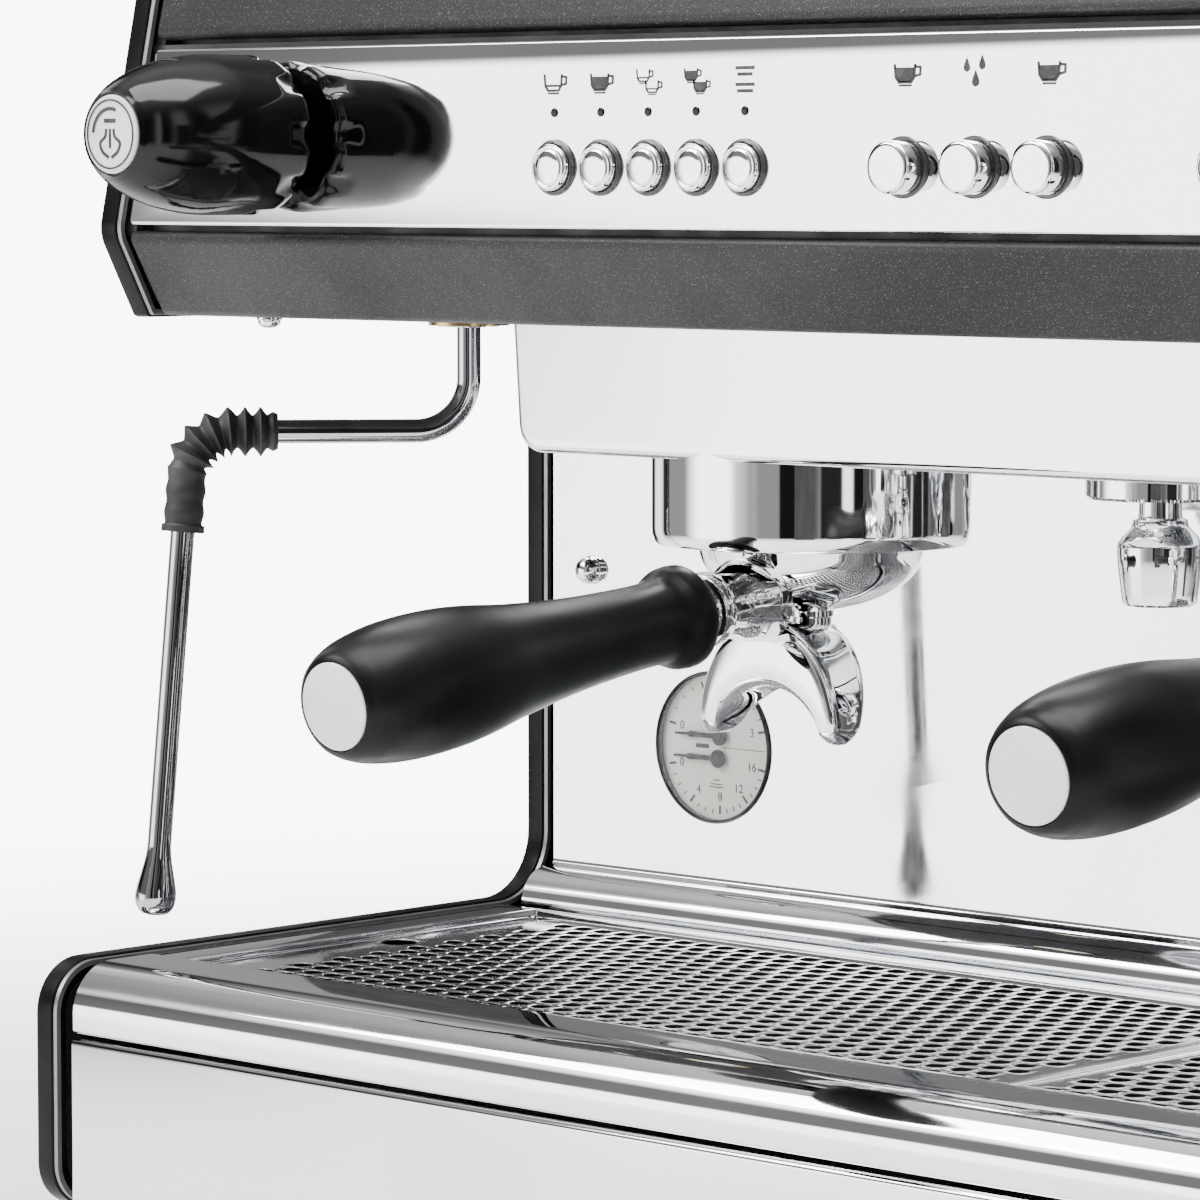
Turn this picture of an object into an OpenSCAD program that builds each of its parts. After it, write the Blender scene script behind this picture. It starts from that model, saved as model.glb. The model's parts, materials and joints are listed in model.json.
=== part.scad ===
// Two-group commercial espresso machine, reusable assembly.
// Millimetres, +Z up, front of the machine faces -Y, origin at the centre of the footprint.

/* [Body] */
// Overall width over the edge trims
body_w = 720; // [700:10:740]
// Distance from the backsplash to the front of the base
base_front = 224; // [214:2:230]
// Distance from the backsplash to the rear of the side panels
body_rear = 312; // [300:2:330]
// Height of the underside of the base above the counter
base_z = 52; // [48:1:58]
// Height of the top of the base rim
rim_z = 132; // [128:1:136]
// Height of the top edge of the side panels
top_z = 484; // [470:2:500]
// Width of each black edge trim
trim_w = 8; // [6:0.5:9]
// Depth of each black edge trim, seen from the side
trim_d = 6; // [5:0.5:7]

/* [Front panels] */
// Height of the lower edge of the upper body
under_z = 335.4; // [333:0.2:338]
// Height of the push buttons
button_z = 383; // [382:0.5:386]
// Distance of the control panel face in front of the backsplash
panel_y = 194; // [193:0.5:196]
// Pitch of the dose buttons
dose_pitch = 18.7; // [17.6:0.1:19]
// Pitch of the three centre buttons
center_pitch = 25.3; // [22:0.1:28]
// Travel of a push button
button_travel = 2.5; // [1.5:0.5:3]

/* [Groups] */
// Distance of each group axis from the centre plane
group_x = 121.3; // [115:0.1:128]
// Distance of each group axis in front of the backsplash
group_y = 122; // [118:1:126]
// Outer radius of the group bell
bell_r = 48; // [46:0.5:50]
// Outer radius of the portafilter body
filter_r = 34.5; // [34:0.25:35]
// Length of the handle from the group axis to its end
handle_reach = 199; // [185:1:200]
// Downward tilt of the handle
handle_tilt = 6.7; // [4:0.1:9]

/* [Steam side] */
// Distance of the knob axis from the centre plane
knob_x = 279; // [270:1:284]
// Height of the knob axis
knob_z = 393; // [391:0.5:393]
// Largest radius of the knob
knob_r = 24.4; // [22:0.2:24.6]
// Distance of the wand ball joint from the centre plane
wand_x = 280; // [274:1:284]
// Distance of the wand ball joint in front of the backsplash
wand_y = 108; // [104:1:112]
// Radius of the wand tube
tube_r = 3.8; // [3.4:0.1:4]

/* [Drip tray] */
// Height of the perforated grille
grille_z = 128.5; // [126:0.5:129]
// Half width of the grille pair
grille_x = 330; // [326:1:332]

/* [Hidden] */
$fn = 48;
e = 0.01;
hx = body_w / 2;
xi = hx - trim_w;          // inner face of the edge trims
xp = xi - 5;               // end of the folded fascia sheets
lean = 0.2161;             // backward lean of the upper front, mm per mm of height
dose_xs = [for (i = [-2:2]) i * dose_pitch];
bell_z0 = 271;
cover_z0 = 297.5;
nose = [-195.3, 362.3];
top_front = nose[0] + (top_z - nose[1]) * lean;
low_front = nose[0] + (nose[1] - under_z) * 0.5466;

perf_pitch = 9.2;          // staggered perforation pitch of the grilles
perf_nx = floor((grille_x - 22) / perf_pitch);
perf_ny = 17;
function perf_x(i, j) = 12.5 + i * perf_pitch + (j % 2) * perf_pitch / 2;
function perf_y(j) = -105.4 + (j - (perf_ny - 1) / 2) * 8.6;

// ---------- helpers ----------
function unit(v) = v / norm(v);
// rounded polygon from corner points and radii
function fillet(p, r, n = 8) = [for (i = [0:len(p) - 1])
  let (a = p[(i + len(p) - 1) % len(p)], c = p[i], b = p[(i + 1) % len(p)],
       ua = unit(a - c), ub = unit(b - c),
       th = acos(max(-1, min(1, ua * ub))),
       m = c + unit(ua + ub) * r[i] / sin(th / 2),
       s = c + ua * r[i] / tan(th / 2), f = c + ub * r[i] / tan(th / 2),
       a0 = atan2(s[1] - m[1], s[0] - m[0]), a1 = atan2(f[1] - m[1], f[0] - m[0]),
       da = ((a1 - a0 + 540) % 360) - 180)
  each (r[i] < 0.01 ? [c] : [for (k = [0:n]) m + r[i] * [cos(a0 + da * k / n), sin(a0 + da * k / n)]])];
// inward copy of a counter-clockwise polygon
function inset(p, d) = [for (i = [0:len(p) - 1])
  let (a = p[(i + len(p) - 1) % len(p)], c = p[i], b = p[(i + 1) % len(p)],
       u = unit(c - a), v = unit(b - c),
       nu = [-u[1], u[0]], nv = [-v[1], v[0]],
       k = d / (1 + nu * nv))
  c + (nu + nv) * k];
module yz(x0, x1) { // polygon drawn in the Y-Z plane, extruded from x0 to x1
  translate([x0, 0, 0]) rotate([90, 0, 90]) linear_extrude(height = x1 - x0) children();
}
module xz(y0, y1) { // polygon drawn in the X-Z plane, extruded from y0 to y1
  translate([0, y1, 0]) rotate([90, 0, 0]) linear_extrude(height = y1 - y0) children();
}
module box(x0, x1, y0, y1, z0, z1) { translate([x0, y0, z0]) cube([x1 - x0, y1 - y0, z1 - z0]); }
module cyl_y(x, y0, y1, z, r) { translate([x, y1, z]) rotate([90, 0, 0]) cylinder(h = y1 - y0, r = r); }
module cyl_x(x0, x1, y, z, r) { translate([x0, y, z]) rotate([0, 90, 0]) cylinder(h = x1 - x0, r = r); }
module both() { children(); mirror([1, 0, 0]) children(); }
module side(s) { if (s > 0) children(); else mirror([1, 0, 0]) children(); }

// corner points of the C-shaped side outline, counter-clockwise in Y-Z
side_pts = [[-base_front, base_z], [body_rear, base_z], [body_rear, top_z], [top_front, top_z],
  nose, [low_front, under_z], [0, under_z], [0, rim_z], [-base_front, rim_z]];
side_rad = [15, 15, 15, 14, 12, 2, 22, 22, 17];
function side_poly(d) = fillet(inset(side_pts, d),
  [for (i = [0:8]) (i == 6 || i == 7) ? side_rad[i] + d : max(0.5, side_rad[i] - d)]);

// tube along a list of points with rounded bends
module tube_path(p, rb, r) {
  last = len(p) - 1;
  cut = [for (i = [0:last]) (i == 0 || i == last) ? 0 :
    rb[i] * tan(acos(unit(p[i] - p[i - 1]) * unit(p[i + 1] - p[i])) / 2)];
  for (i = [0:last - 1]) {
    d = unit(p[i + 1] - p[i]);
    a = p[i] + d * cut[i];
    len_i = norm(p[i + 1] - p[i]) - cut[i] - cut[i + 1];
    o0 = i == 0 ? 0 : 0.04;
    o1 = i == last - 1 ? 0 : 0.04;
    along(a - d * o0, d) cylinder(h = len_i + o0 + o1, r = r);
  }
  for (i = [1:1:last - 1]) {
    d1 = unit(p[i] - p[i - 1]);
    d2 = unit(p[i + 1] - p[i]);
    n = unit(cross(d1, d2));
    toc = cross(n, d1);
    c = p[i] - d1 * cut[i] + toc * rb[i];
    x = -toc;
    multmatrix([[x[0], d1[0], n[0], c[0]], [x[1], d1[1], n[1], c[1]], [x[2], d1[2], n[2], c[2]], [0, 0, 0, 1]])
      rotate_extrude(angle = acos(d1 * d2)) translate([rb[i], 0]) circle(r = r + 0.03);
  }
}
// place children with their Z axis along d at point a
module along(a, d) {
  t = abs(d[2]) > 0.99 ? [1, 0, 0] : [0, 0, 1];
  x = unit(cross(t, d));
  y = cross(d, x);
  multmatrix([[x[0], y[0], d[0], a[0]], [x[1], y[1], d[1], a[1]], [x[2], y[2], d[2], a[2]], [0, 0, 0, 1]])
    children();
}

// ---------- structure ----------
module frame() color("dimgray") difference() {
  union() {
    box(-xi + 12, xi - 12, -base_front + 16, body_rear - 14, base_z + 2, base_z + 5);
    both() box(-xi + 12, -xi + 36, -base_front + 16, body_rear - 14, base_z + 2, base_z + 26);
    box(-xi + 12, xi - 12, body_rear - 38, body_rear - 14, base_z + 2, base_z + 26);
    box(-xi + 12, xi - 12, 10, 30, base_z + 2, base_z + 26);
    both() box(-xi + 12, -xi + 36, 10, 34, base_z + 2, top_z - 20);
    both() box(-xi + 12, -xi + 36, body_rear - 38, body_rear - 14, base_z + 2, top_z - 20);
    both() box(-xi + 12, -xi + 36, -140, body_rear - 14, top_z - 44, top_z - 20);
    box(-xi + 12, xi - 12, 10, 30, under_z - 30, under_z + 10);
    both() box(-105, -85, 10, 250, under_z - 6, under_z + 2);
    box(-xi + 12, xi - 12, 250, body_rear - 38 + 24, under_z - 6, under_z + 10);
  }
  both() translate([-290, -170, base_z]) cylinder(h = 60, r = 6.3);
  both() translate([-290, body_rear - 60, base_z]) cylinder(h = 60, r = 6.3);
  translate([215, -70, base_z]) cylinder(h = 20, r = 16);
}
module foot(x, y) translate([x, y, 0]) {
  difference() {
    union() {
      cylinder(h = 4, r1 = 21, r2 = 23);
      translate([0, 0, 4]) cylinder(h = 28, r1 = 23, r2 = 19);
      translate([0, 0, 32]) cylinder(h = base_z + 1.95 - 32, r = 14);
      translate([0, 0, 40]) cylinder(h = base_z + 14 - 40, r = 6.2);
    }
    translate([0, 0, -1]) cylinder(h = 3, r = 15);
  }
}
module feet() color("black") {
  foot(-290, -170); foot(290, -170); foot(-290, body_rear - 60); foot(290, body_rear - 60);
}
module side_panels() color("#3b3d40") both()
  yz(-hx + 1.5, -hx + 5.5) polygon(side_poly(trim_d + 0.2));
module edge_trims() color("#17181a") both() yz(-hx, -xi) difference() {
  polygon(side_poly(0));
  polygon(side_poly(trim_d));
}

// ---------- base and drip tray ----------
function bull(d) = fillet([[-base_front + 3 + d, 109.5 + d * 0], [-186 - d * 0, 109.5], [-186, rim_z - 0.5 - d],
  [-base_front + 3 + d, rim_z - 0.5 - d]], [0, 0, 1.2, 16 - d]);
module front_panel() color("silver") difference() {
  yz(-xp + 2, xp - 2) polygon(fillet([[-base_front + 2, base_z + 3], [-base_front + 8, base_z + 3],
    [-base_front + 8, 106.3], [-base_front + 2, 106.3]], [1.5, 0, 0, 1.5]));
}
module tray_surround() color("gainsboro") difference() {
  union() {
    yz(-xp + 2, xp - 2) difference() {
      polygon(bull(0));
      polygon([[-base_front + 6, 100], [-188, 100], [-188, rim_z - 18], [-base_front + 6, rim_z - 18]]);
    }
    both() box(-xp - 1, -grille_x - 1, -186 - e, -25, rim_z - 5, rim_z - 1);
    both() box(-xp - 1, -xp + 1.5, -190, -23, 112, rim_z - 1);
    box(-xp - 1, xp + 1, -25.2, -23, 112, rim_z - 1.2);
  }
}
module drip_basin() color("silver") difference() {
  union() {
    box(-grille_x + 2, grille_x - 2, -184, -26, 84, 122);
  }
  box(-grille_x + 3.5, grille_x - 3.5, -182.5, -27.5, 86, 130);
  translate([215, -70, 80]) cylinder(h = 10, r = 13);
}
module grille(s) side(s) {
  translate([0, 0, grille_z - 2]) linear_extrude(height = 2) difference() {
    translate([0.4, -185.2]) square([grille_x - 0.9, 159.6]);
    for (i = [0:perf_nx - 1]) for (j = [0:perf_ny - 1])
      if (abs(perf_x(i, j) - grille_x + 12) > 11 || abs(perf_y(j) + 97) > 11)
        translate([perf_x(i, j), perf_y(j)]) circle(r = 3);
    translate([grille_x - 12, -97]) circle(r = 7);
  }
  difference() {
    box(0.6, grille_x - 2.5, -183, -28, 122.05, grille_z - 2 + e);
    box(2.6, grille_x - 4, -181.5, -29.5, 121, grille_z + 1);
  }
}
module grille_left() color("silver") grille(-1);
module grille_right() color("silver") grille(1);
module waste_cup() color("#26282a") difference() {
  union() {
    translate([215, -70, 58]) cylinder(h = 25, r = 34);
    translate([215, -70, 30]) cylinder(h = 30, r = 12);
  }
  translate([215, -70, 61]) cylinder(h = 30, r = 31.5);
  translate([215, -70, 20]) cylinder(h = 60, r = 9.5);
}

// ---------- front surfaces ----------
module backsplash() color("gainsboro") difference() {
  yz(-xp + 0.4, xp - 0.4) polygon(concat([[1.5, 302], [0, 302], [0, 142.5]],
    [for (k = [0:8]) [-4 + 12 * cos(90 + k * 11.25), 130.5 + 12 * sin(90 + k * 11.25)]],
    [[-16, 112], [-14.5, 112]],
    [for (k = [0:8]) [-4 + 10.5 * cos(180 - k * 11.25), 130.5 + 10.5 * sin(180 - k * 11.25)]],
    [[1.5, 141]]));
  cyl_y(-272, -5, 5, 188.8, 25.4);
  for (x = [-328.3, 328.3]) cyl_y(x, -5, 5, 245.7, 3.2);
}
module upper_fascia() color("#3b3d40") yz(-xp, xp) polygon([
  [nose[0] + (423.5 - nose[1]) * lean + 1, 423.5], [nose[0] + (423.5 - nose[1]) * lean + 10, 423.5],
  [nose[0] + (423.5 - nose[1]) * lean + 10, 425.5], [nose[0] + (425.5 - nose[1]) * lean + 3, 425.5],
  [top_front + 3.6, top_z - 3], [-120, top_z - 3], [-120, top_z - 1], [top_front + 2.2, top_z - 1]]);
module control_panel() color("silver") difference() {
  union() {
    xz(-panel_y, -panel_y + 1.5) polygon([[-346.5, 365], [346.5, 365], [333, 420], [-333, 420]]);
    xz(-panel_y + 1, -panel_y + 11) difference() {
      polygon([[-346.5, 365], [346.5, 365], [333, 420], [-333, 420]]);
      polygon([[-344.6, 366.5], [344.6, 366.5], [331.9, 418.5], [-331.9, 418.5]]);
    }
  }
  for (s = [-1, 1]) for (x = dose_xs) cyl_y(s * group_x + x, -panel_y - 5, -panel_y + 5, button_z, 7.6);
  for (i = [-1:1]) cyl_y(i * center_pitch, -panel_y - 5, -panel_y + 5, button_z, 7.5);
  for (s = [-1, 1]) cyl_y(s * knob_x, -panel_y - 5, -panel_y + 5, knob_z, 13);
}
module lower_fascia() color("#3b3d40") difference() {
  yz(-xp, xp) polygon([[low_front + 1.5, under_z + 0.6], [-4, under_z + 0.6], [-4, under_z + 2.4],
    [low_front + 3, under_z + 2.4], [nose[0] + 3.4, nose[1] - 0.6], [nose[0] + 14, nose[1] - 0.6],
    [nose[0] + 14, nose[1] + 0.6], [nose[0] + 1.4, nose[1] + 0.6]]);
  for (s = [-1, 1]) translate([s * wand_x, -wand_y, under_z - 5]) cylinder(h = 20, r = 15.4);
  box(-201.4, 201.4, -170.4, 20, under_z - 5, under_z + 10);
  for (s = [-1, 1]) translate([s * 306, -171, under_z - 5]) cylinder(h = 12, r = 2.2);
}
module fascia_frame() color("#101113") difference() {
  union() {
    yz(-xi + 0.3, -xi + 4.7) polygon(inset([[low_front, under_z], [-2, under_z], [-2, top_z],
      [top_front, top_z], nose], 5));
    mirror([1, 0, 0]) yz(-xi + 0.3, -xi + 4.7) polygon(inset([[low_front, under_z], [-2, under_z],
      [-2, top_z], [top_front, top_z], nose], 5));
    box(-xi + 0.3, xi - 0.3, -178, -174, 350, 422);
    for (x = [-210, 210]) box(x - 4, x + 4, -174.5, -150, 350, 422);
  }
  for (s = [-1, 1]) for (x = dose_xs) cyl_y(s * group_x + x, -200, -100, button_z, 7.6);
  for (i = [-1:1]) cyl_y(i * center_pitch, -200, -100, button_z, 7.5);
  for (s = [-1, 1]) cyl_y(s * knob_x, -200, -100, knob_z, 13.5);
}
module group_cover() color("gainsboro") difference() {
  xz(-170, -3) polygon(fillet([[-197.5, cover_z0], [197.5, cover_z0], [201.5, 352], [-201.5, 352]],
    [9, 9, 0, 0]));
  xz(-168.5, 5) polygon(fillet([[-196, cover_z0 + 1.5], [196, cover_z0 + 1.5], [200, 360], [-200, 360]],
    [7.5, 7.5, 0, 0]));
  for (s = [-1, 1]) translate([s * group_x, -group_y, 280]) cylinder(h = 40, r = bell_r + 1.5);
  for (s = [-1, 1]) box(s * group_x - 34, s * group_x + 34, -group_y, 5, 280, 330);
  translate([0, -110, 280]) cylinder(h = 40, r = 8.5);
}
module cup_deck() color("gainsboro") difference() {
  union() {
    box(-xp, xp, -119, body_rear - 8.2, top_z - 14, top_z - 12);
    box(-xp, xp, -119, -117, top_z - 14, top_z - 4);
  }
  for (i = [-9:9]) box(i * 34 - 10, i * 34 + 10, -80, -74, top_z - 20, top_z);
  for (i = [-9:9]) box(i * 34 - 10, i * 34 + 10, -40, -34, top_z - 20, top_z);
  for (i = [-9:9]) box(i * 34 - 10, i * 34 + 10, 230, 236, top_z - 20, top_z);
  for (s = [-1, 1]) for (y = [-100, 100, 290]) translate([s * 338, y, top_z - 30]) cylinder(h = 40, r = 3.2);
}
module cup_rail() color("gainsboro") {
  tube_path([[-338, -100, top_z - 16], [-338, -100, top_z + 34], [-338, 296, top_z + 34],
    [338, 296, top_z + 34], [338, -100, top_z + 34], [338, -100, top_z - 16]], [0, 16, 16, 16, 16, 0], 3);
}
module rear_panel() color("#3b3d40") difference() {
  box(-xp, xp, body_rear - 8, body_rear - 6, base_z + 8, top_z - 10);
  for (i = [-6:6]) for (z = [360, 380, 400, 420]) box(i * 40 - 14, i * 40 + 14, body_rear - 20, body_rear, z, z + 6);
  for (x = [-300, -100, 100, 300]) for (z = [base_z + 20, top_z - 30]) cyl_y(x, body_rear - 20, body_rear, z, 2.2);
  cyl_y(-210, body_rear - 20, body_rear, 110, 9);
  cyl_y(-260, body_rear - 20, body_rear, 110, 9.2);
}
module dome_screw(p, d, r) along(p, d) {
  cylinder(h = 1, r = r);
  intersection() {
    translate([0, 0, 1 - r * 0.75]) sphere(r = r * 1.25);
    translate([0, 0, 1 - e]) cylinder(h = r, r = r);
  }
  translate([0, 0, -8]) cylinder(h = 8 + e, r = 2);
}
module fasteners() color("gainsboro") {
  for (x = [-328.3, 328.3]) dome_screw([x, -0.1, 245.7], [0, -1, 0], 5);
  for (x = [-306, 306]) dome_screw([x, -171, under_z + 0.5], [0, 0, -1], 4);
  for (x = [-300, -100, 100, 300]) for (z = [base_z + 20, top_z - 30])
    dome_screw([x, body_rear - 5.9, z], [0, 1, 0], 4);
}

// ---------- gauge ----------
module gauge_case() color("#2a2b2d") difference() {
  union() {
    cyl_y(-272, -1.2, 0, 188.8, 25.8);
    cyl_y(-272, -0.5, 26, 188.8, 25.2);
    cyl_y(-272, 25.9, 32, 188.8, 7);
  }
  cyl_y(-272, -5, 1.6, 188.8, 24.6);
  for (z = [192.6, 185]) cyl_y(-270.4 + (z < 188 ? 0 : 0.6), -5, 4, z, 0.85);
}
module pointer(x, z) {
  difference() {
    union() {
      cyl_y(x, -0.1, 0.5, z, 2.8);
      xz(-0.1, 0.5) polygon([[x - 20, z - 0.5], [x - 20, z + 0.5], [x, z + 0.9], [x, z - 0.9]]);
    }
  }
  cyl_y(x, -0.2, 3.5, z, 0.8);
}
module gauge_pointer_boiler() color("black") pointer(-269.8, 192.6);
module gauge_pointer_pump() color("black") pointer(-270.4, 185);

// ---------- buttons ----------
module dose_bezels() color("#4a4c4f") for (s = [-1, 1]) for (x = dose_xs) difference() {
  union() {
    cyl_y(s * group_x + x, -panel_y - 1, -panel_y, button_z, 8.25);
    cyl_y(s * group_x + x, -panel_y - 0.5, -panel_y + 15, button_z, 7.5);
  }
  cyl_y(s * group_x + x, -panel_y - 5, -panel_y + 20, button_z, 6.95);
}
module dose_button(s, i) color("gainsboro") {
  x = s * group_x + (i - 3) * dose_pitch;
  difference() {
    union() {
      cyl_y(x, -panel_y - 3, -panel_y + 14.5 - button_travel, button_z, 6.9);
      translate([x, -panel_y - 3, button_z]) intersection() {
        translate([0, 13.9, 0]) sphere(r = 15.5);
        cyl_y(0, -4, 0.1, 0, 6.9);
      }
    }
  }
}
module dose_button_l1() dose_button(-1, 1);
module dose_button_l2() dose_button(-1, 2);
module dose_button_l3() dose_button(-1, 3);
module dose_button_l4() dose_button(-1, 4);
module dose_button_l5() dose_button(-1, 5);
module dose_button_r1() dose_button(1, 1);
module dose_button_r2() dose_button(1, 2);
module dose_button_r3() dose_button(1, 3);
module dose_button_r4() dose_button(1, 4);
module dose_button_r5() dose_button(1, 5);
module center_button(i) color("gainsboro") {
  cyl_y(i * center_pitch, -panel_y - 7.6, -panel_y + 16.5 - button_travel, button_z, 7.43);
}
module center_button_left() center_button(-1);
module center_button_mid() center_button(0);
module center_button_right() center_button(1);

// ---------- steam side ----------
module knob(s) color("black") translate([s * knob_x, 0, knob_z]) rotate([90, 0, 0]) translate([0, 0, panel_y])
  rotate_extrude() polygon([[0, -34], [6, -34], [6, -0.5], [12.8, -0.5], [12.8, 5], [knob_r - 1.2, 5.2],
    [knob_r, 6.6], [knob_r, 28], [knob_r - 0.8, 38], [knob_r - 2.8, 48], [knob_r - 6, 57],
    [knob_r - 9, 62.5], [knob_r - 11, 65.2], [knob_r - 12.2, 66.4], [0, 67]]);
module steam_knob_left() knob(-1);
module steam_knob_right() knob(1);
module steam_valves() color("#b08d3e") for (s = [-1, 1]) difference() {
  union() {
    cyl_y(s * knob_x, -panel_y + 20, -panel_y + 86, knob_z, 12);
    translate([s * wand_x, -wand_y, 346]) cylinder(h = 52, r = 11);
    translate([s * wand_x, -wand_y, under_z - 2.6]) cylinder(h = 30, r = 13);
  }
  cyl_y(s * knob_x, -panel_y - 5, -panel_y + 40, knob_z, 6.06);
  translate([s * wand_x, -wand_y, 345]) sphere(r = 7.35);
  translate([s * wand_x, -wand_y, 320]) cylinder(h = 24, r = tube_r + 0.35);
}
wand_pts = [[-wand_x, -wand_y, 345], [-wand_x, -wand_y, 299], [-338, -176, 299], [-340.4, -188.2, 166]];
wand_dir = unit(wand_pts[3] - wand_pts[2]);
module wand(s) color("gainsboro") side(-s) {
  tube_path(wand_pts, [0, 17, 15, 0], tube_r);
  translate(wand_pts[0]) sphere(r = 7);
  along(wand_pts[3], wand_dir) rotate_extrude() polygon(concat([[0, -0.6], [tube_r + 0.04, -0.6],
    [tube_r + 0.4, 2.5], [tube_r + 1.4, 6.5], [6.3, 11], [6.6, 14]],
    [for (k = [1:7]) [6.6 * cos(k * 12), 15 + 6.6 * sin(k * 12)]], [[0, 21.6]]));
}
module wand_left() wand(-1);
module wand_right() wand(1);
module wand_sleeve(s) color("#1a1a1c") side(-s) {
  d1 = unit(wand_pts[2] - wand_pts[1]);
  difference() {
    tube_path([wand_pts[2] - d1 * 28, wand_pts[2], wand_pts[2] + wand_dir * 32], [0, 15, 0], 8.2);
    tube_path(wand_pts, [0, 17, 15, 0], tube_r + 0.06);
  }
}
module wand_sleeve_left() wand_sleeve(-1);
module wand_sleeve_right() wand_sleeve(1);

// ---------- groups ----------
module group_heads() color("gainsboro") for (s = [-1, 1]) translate([s * group_x, -group_y, 0]) {
  difference() {
    union() {
      translate([0, 0, 306]) cylinder(h = 26, r = 40);
      translate([0, 0, 292]) cylinder(h = 15, r = 30);
      box(-28, 28, 0, group_y + 9.9, 308, 328);
    }
    translate([0, 0, 290]) cylinder(h = 8, r = 26);
  }
  translate([0, 0, 293]) cylinder(h = 5, r = 25.6);
}
module group_bells() color("gainsboro") for (s = [-1, 1]) translate([s * group_x, -group_y, 0])
  rotate_extrude() polygon([[36, bell_z0 + 1], [37, bell_z0], [46, bell_z0], [bell_r - 0.6, bell_z0 + 0.6],
    [bell_r, bell_z0 + 2], [bell_r, 305.9], [30.1, 305.9], [30.1, 299], [36, 299]]);
module portafilter(s) color("gainsboro") translate([s * group_x, -group_y, 0]) {
  difference() {
    union() {
      rotate_extrude() polygon([[0, 252], [7, 252], [14, 253], [22, 255.5], [28.5, 259.5], [32.6, 264.5],
        [filter_r, 270], [filter_r, 288], [0, 288]]);
      intersection() {
        difference() {
          translate([0, 0, 281]) cylinder(h = 6, r = 35.9);
          translate([0, 0, 280]) cylinder(h = 8, r = filter_r - 1);
        }
        union() { box(-40, 40, -12, 12, 270, 300); }
      }
      // tapered neck towards the handle
      translate([0, -30, 256]) rotate([90 + handle_tilt, 0, 0]) translate([0, 0, -4]) cylinder(h = 30, r1 = 12, r2 = 8.5);
      translate([0, -30, 256]) rotate([90 + handle_tilt, 0, 0]) cylinder(h = 60, r = 5);
      translate([0, 0, 244]) cylinder(h = 9, r = 6);
    }
    translate([0, 0, 260]) cylinder(h = 40, r = 29.6);
    translate([0, 0, 271]) cylinder(h = 40, r = 30.3);
    translate([0, 0, 230]) cylinder(h = 40, r = 3.2);
  }
  spout();
}
module spout() difference() {
  // double spout: an arched body with two curved tips
  xz(-6.5, 6.5) polygon(concat(
    [for (k = [0:16]) [-27 * cos(k * 11.25), 211 + 36 * sin(k * 11.25)]],
    [[22.6, 209.6]],
    [for (k = [0:16]) [19.6 * cos(k * 11.25), 211 + 18.5 * sin(k * 11.25)]],
    [[-22.6, 209.6]]));
  translate([0, 0, 243.9]) cylinder(h = 20, r = 6.02);
  translate([0, 0, 222]) cylinder(h = 40, r = 3.4);
}
module portafilter_left() portafilter(-1);
module portafilter_right() portafilter(1);
module filter_basket(s) color("silver") translate([s * group_x, -group_y, 0]) difference() {
  union() {
    translate([0, 0, 262]) cylinder(h = 26.5, r = 29.4);
    translate([0, 0, 288.1]) cylinder(h = 1.4, r = 33);
  }
  translate([0, 0, 263]) cylinder(h = 40, r = 28.6);
  for (a = [0:45:359]) rotate(a) translate([14, 0, 250]) cylinder(h = 20, r = 2, $fn = 24);
}
module filter_basket_left() filter_basket(-1);
module filter_basket_right() filter_basket(1);
module handle(s) color("black") translate([s * group_x, -group_y - 30, 256]) rotate([90 + handle_tilt, 0, 0])
  difference() {
    rotate_extrude() polygon([[0, 26.1], [13, 26.1], [15, 27], [15.3, 29], [15, 33], [13.6, 36], [12.2, 39],
      [12.2, 48], [12.7, 60], [13.6, 75], [14.8, 88], [16.6, 102], [18.4, 113], [19.6, 124], [20, 134],
      [19.9, 144], [19.2, 153], [17.6, 161], [15.4, 166.6], [13.2, handle_reach - 30.2], [0, handle_reach - 29.4]]);
    translate([0, 0, -10]) cylinder(h = 70.1, r = 5.03);
  }
module handle_left() handle(-1);
module handle_right() handle(1);
module hot_water_outlet() color("gainsboro") translate([0, -110, 0]) {
  difference() {
    union() {
      translate([0, 0, 289]) cylinder(h = 7, r = 21.5);
      translate([0, 0, 285]) cylinder(h = 60, r = 6);
      translate([0, 0, 281]) cylinder(h = 8.1, r1 = 8, r2 = 6);
      translate([0, 0, 276]) cylinder(h = 5.1, r1 = 12.4, r2 = 8);
      translate([0, 0, 258.5]) cylinder(h = 17.6, r1 = 10.8, r2 = 12.4);
    }
    translate([0, 0, 250]) cylinder(h = 60, r = 4);
  }
}

// ---------- inside ----------
module boiler() color("#c8794a") {
  difference() {
    union() {
      cyl_x(-190, 190, 165, 412, 56);
      cyl_x(-198, -189.9, 165, 412, 57.5);
      cyl_x(189.9, 198, 165, 412, 57.5);
      for (x = [-95, 95]) box(x - 8, x + 8, 150, 180, under_z + 2.1, 370);
    }
  }
  cyl_x(-232, -197.9, 165, 400, 22);
}
module pump_unit() color("#55585c") {
  cyl_x(-260, -110, 150, 130, 52);
  cyl_x(-110.1, -60, 150, 130, 26);
  box(-240, -130, 110, 190, base_z + 5.1, 90);
  translate([-185, 150, 180]) box(-30, 30, -20, 20, -5, 26);
}
module solenoid_valves() color("#6a6d70") for (s = [-1, 1]) for (y = [-70]) {
  translate([s * group_x, y, 328.1]) cylinder(h = 18, r = 12);
  translate([s * group_x, y, 346]) box(-14, 14, -16, 16, 0, 34);
}
module control_box() color("#8d9094") box(70, 290, 90, 230, base_z + 5.1, base_z + 95);
module pipework() color("#c8794a") both() {
  tube_path([[group_x, -70, 380.1], [group_x, -70, 440], [group_x, 114.2, 440]], [0, 12, 0], 4);
  tube_path([[knob_x, -130, knob_z + 12.1], [knob_x, -130, 440], [knob_x, 165, 440], [198.1, 165, 440]],
    [0, 12, 14, 0], 4);
}
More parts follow.
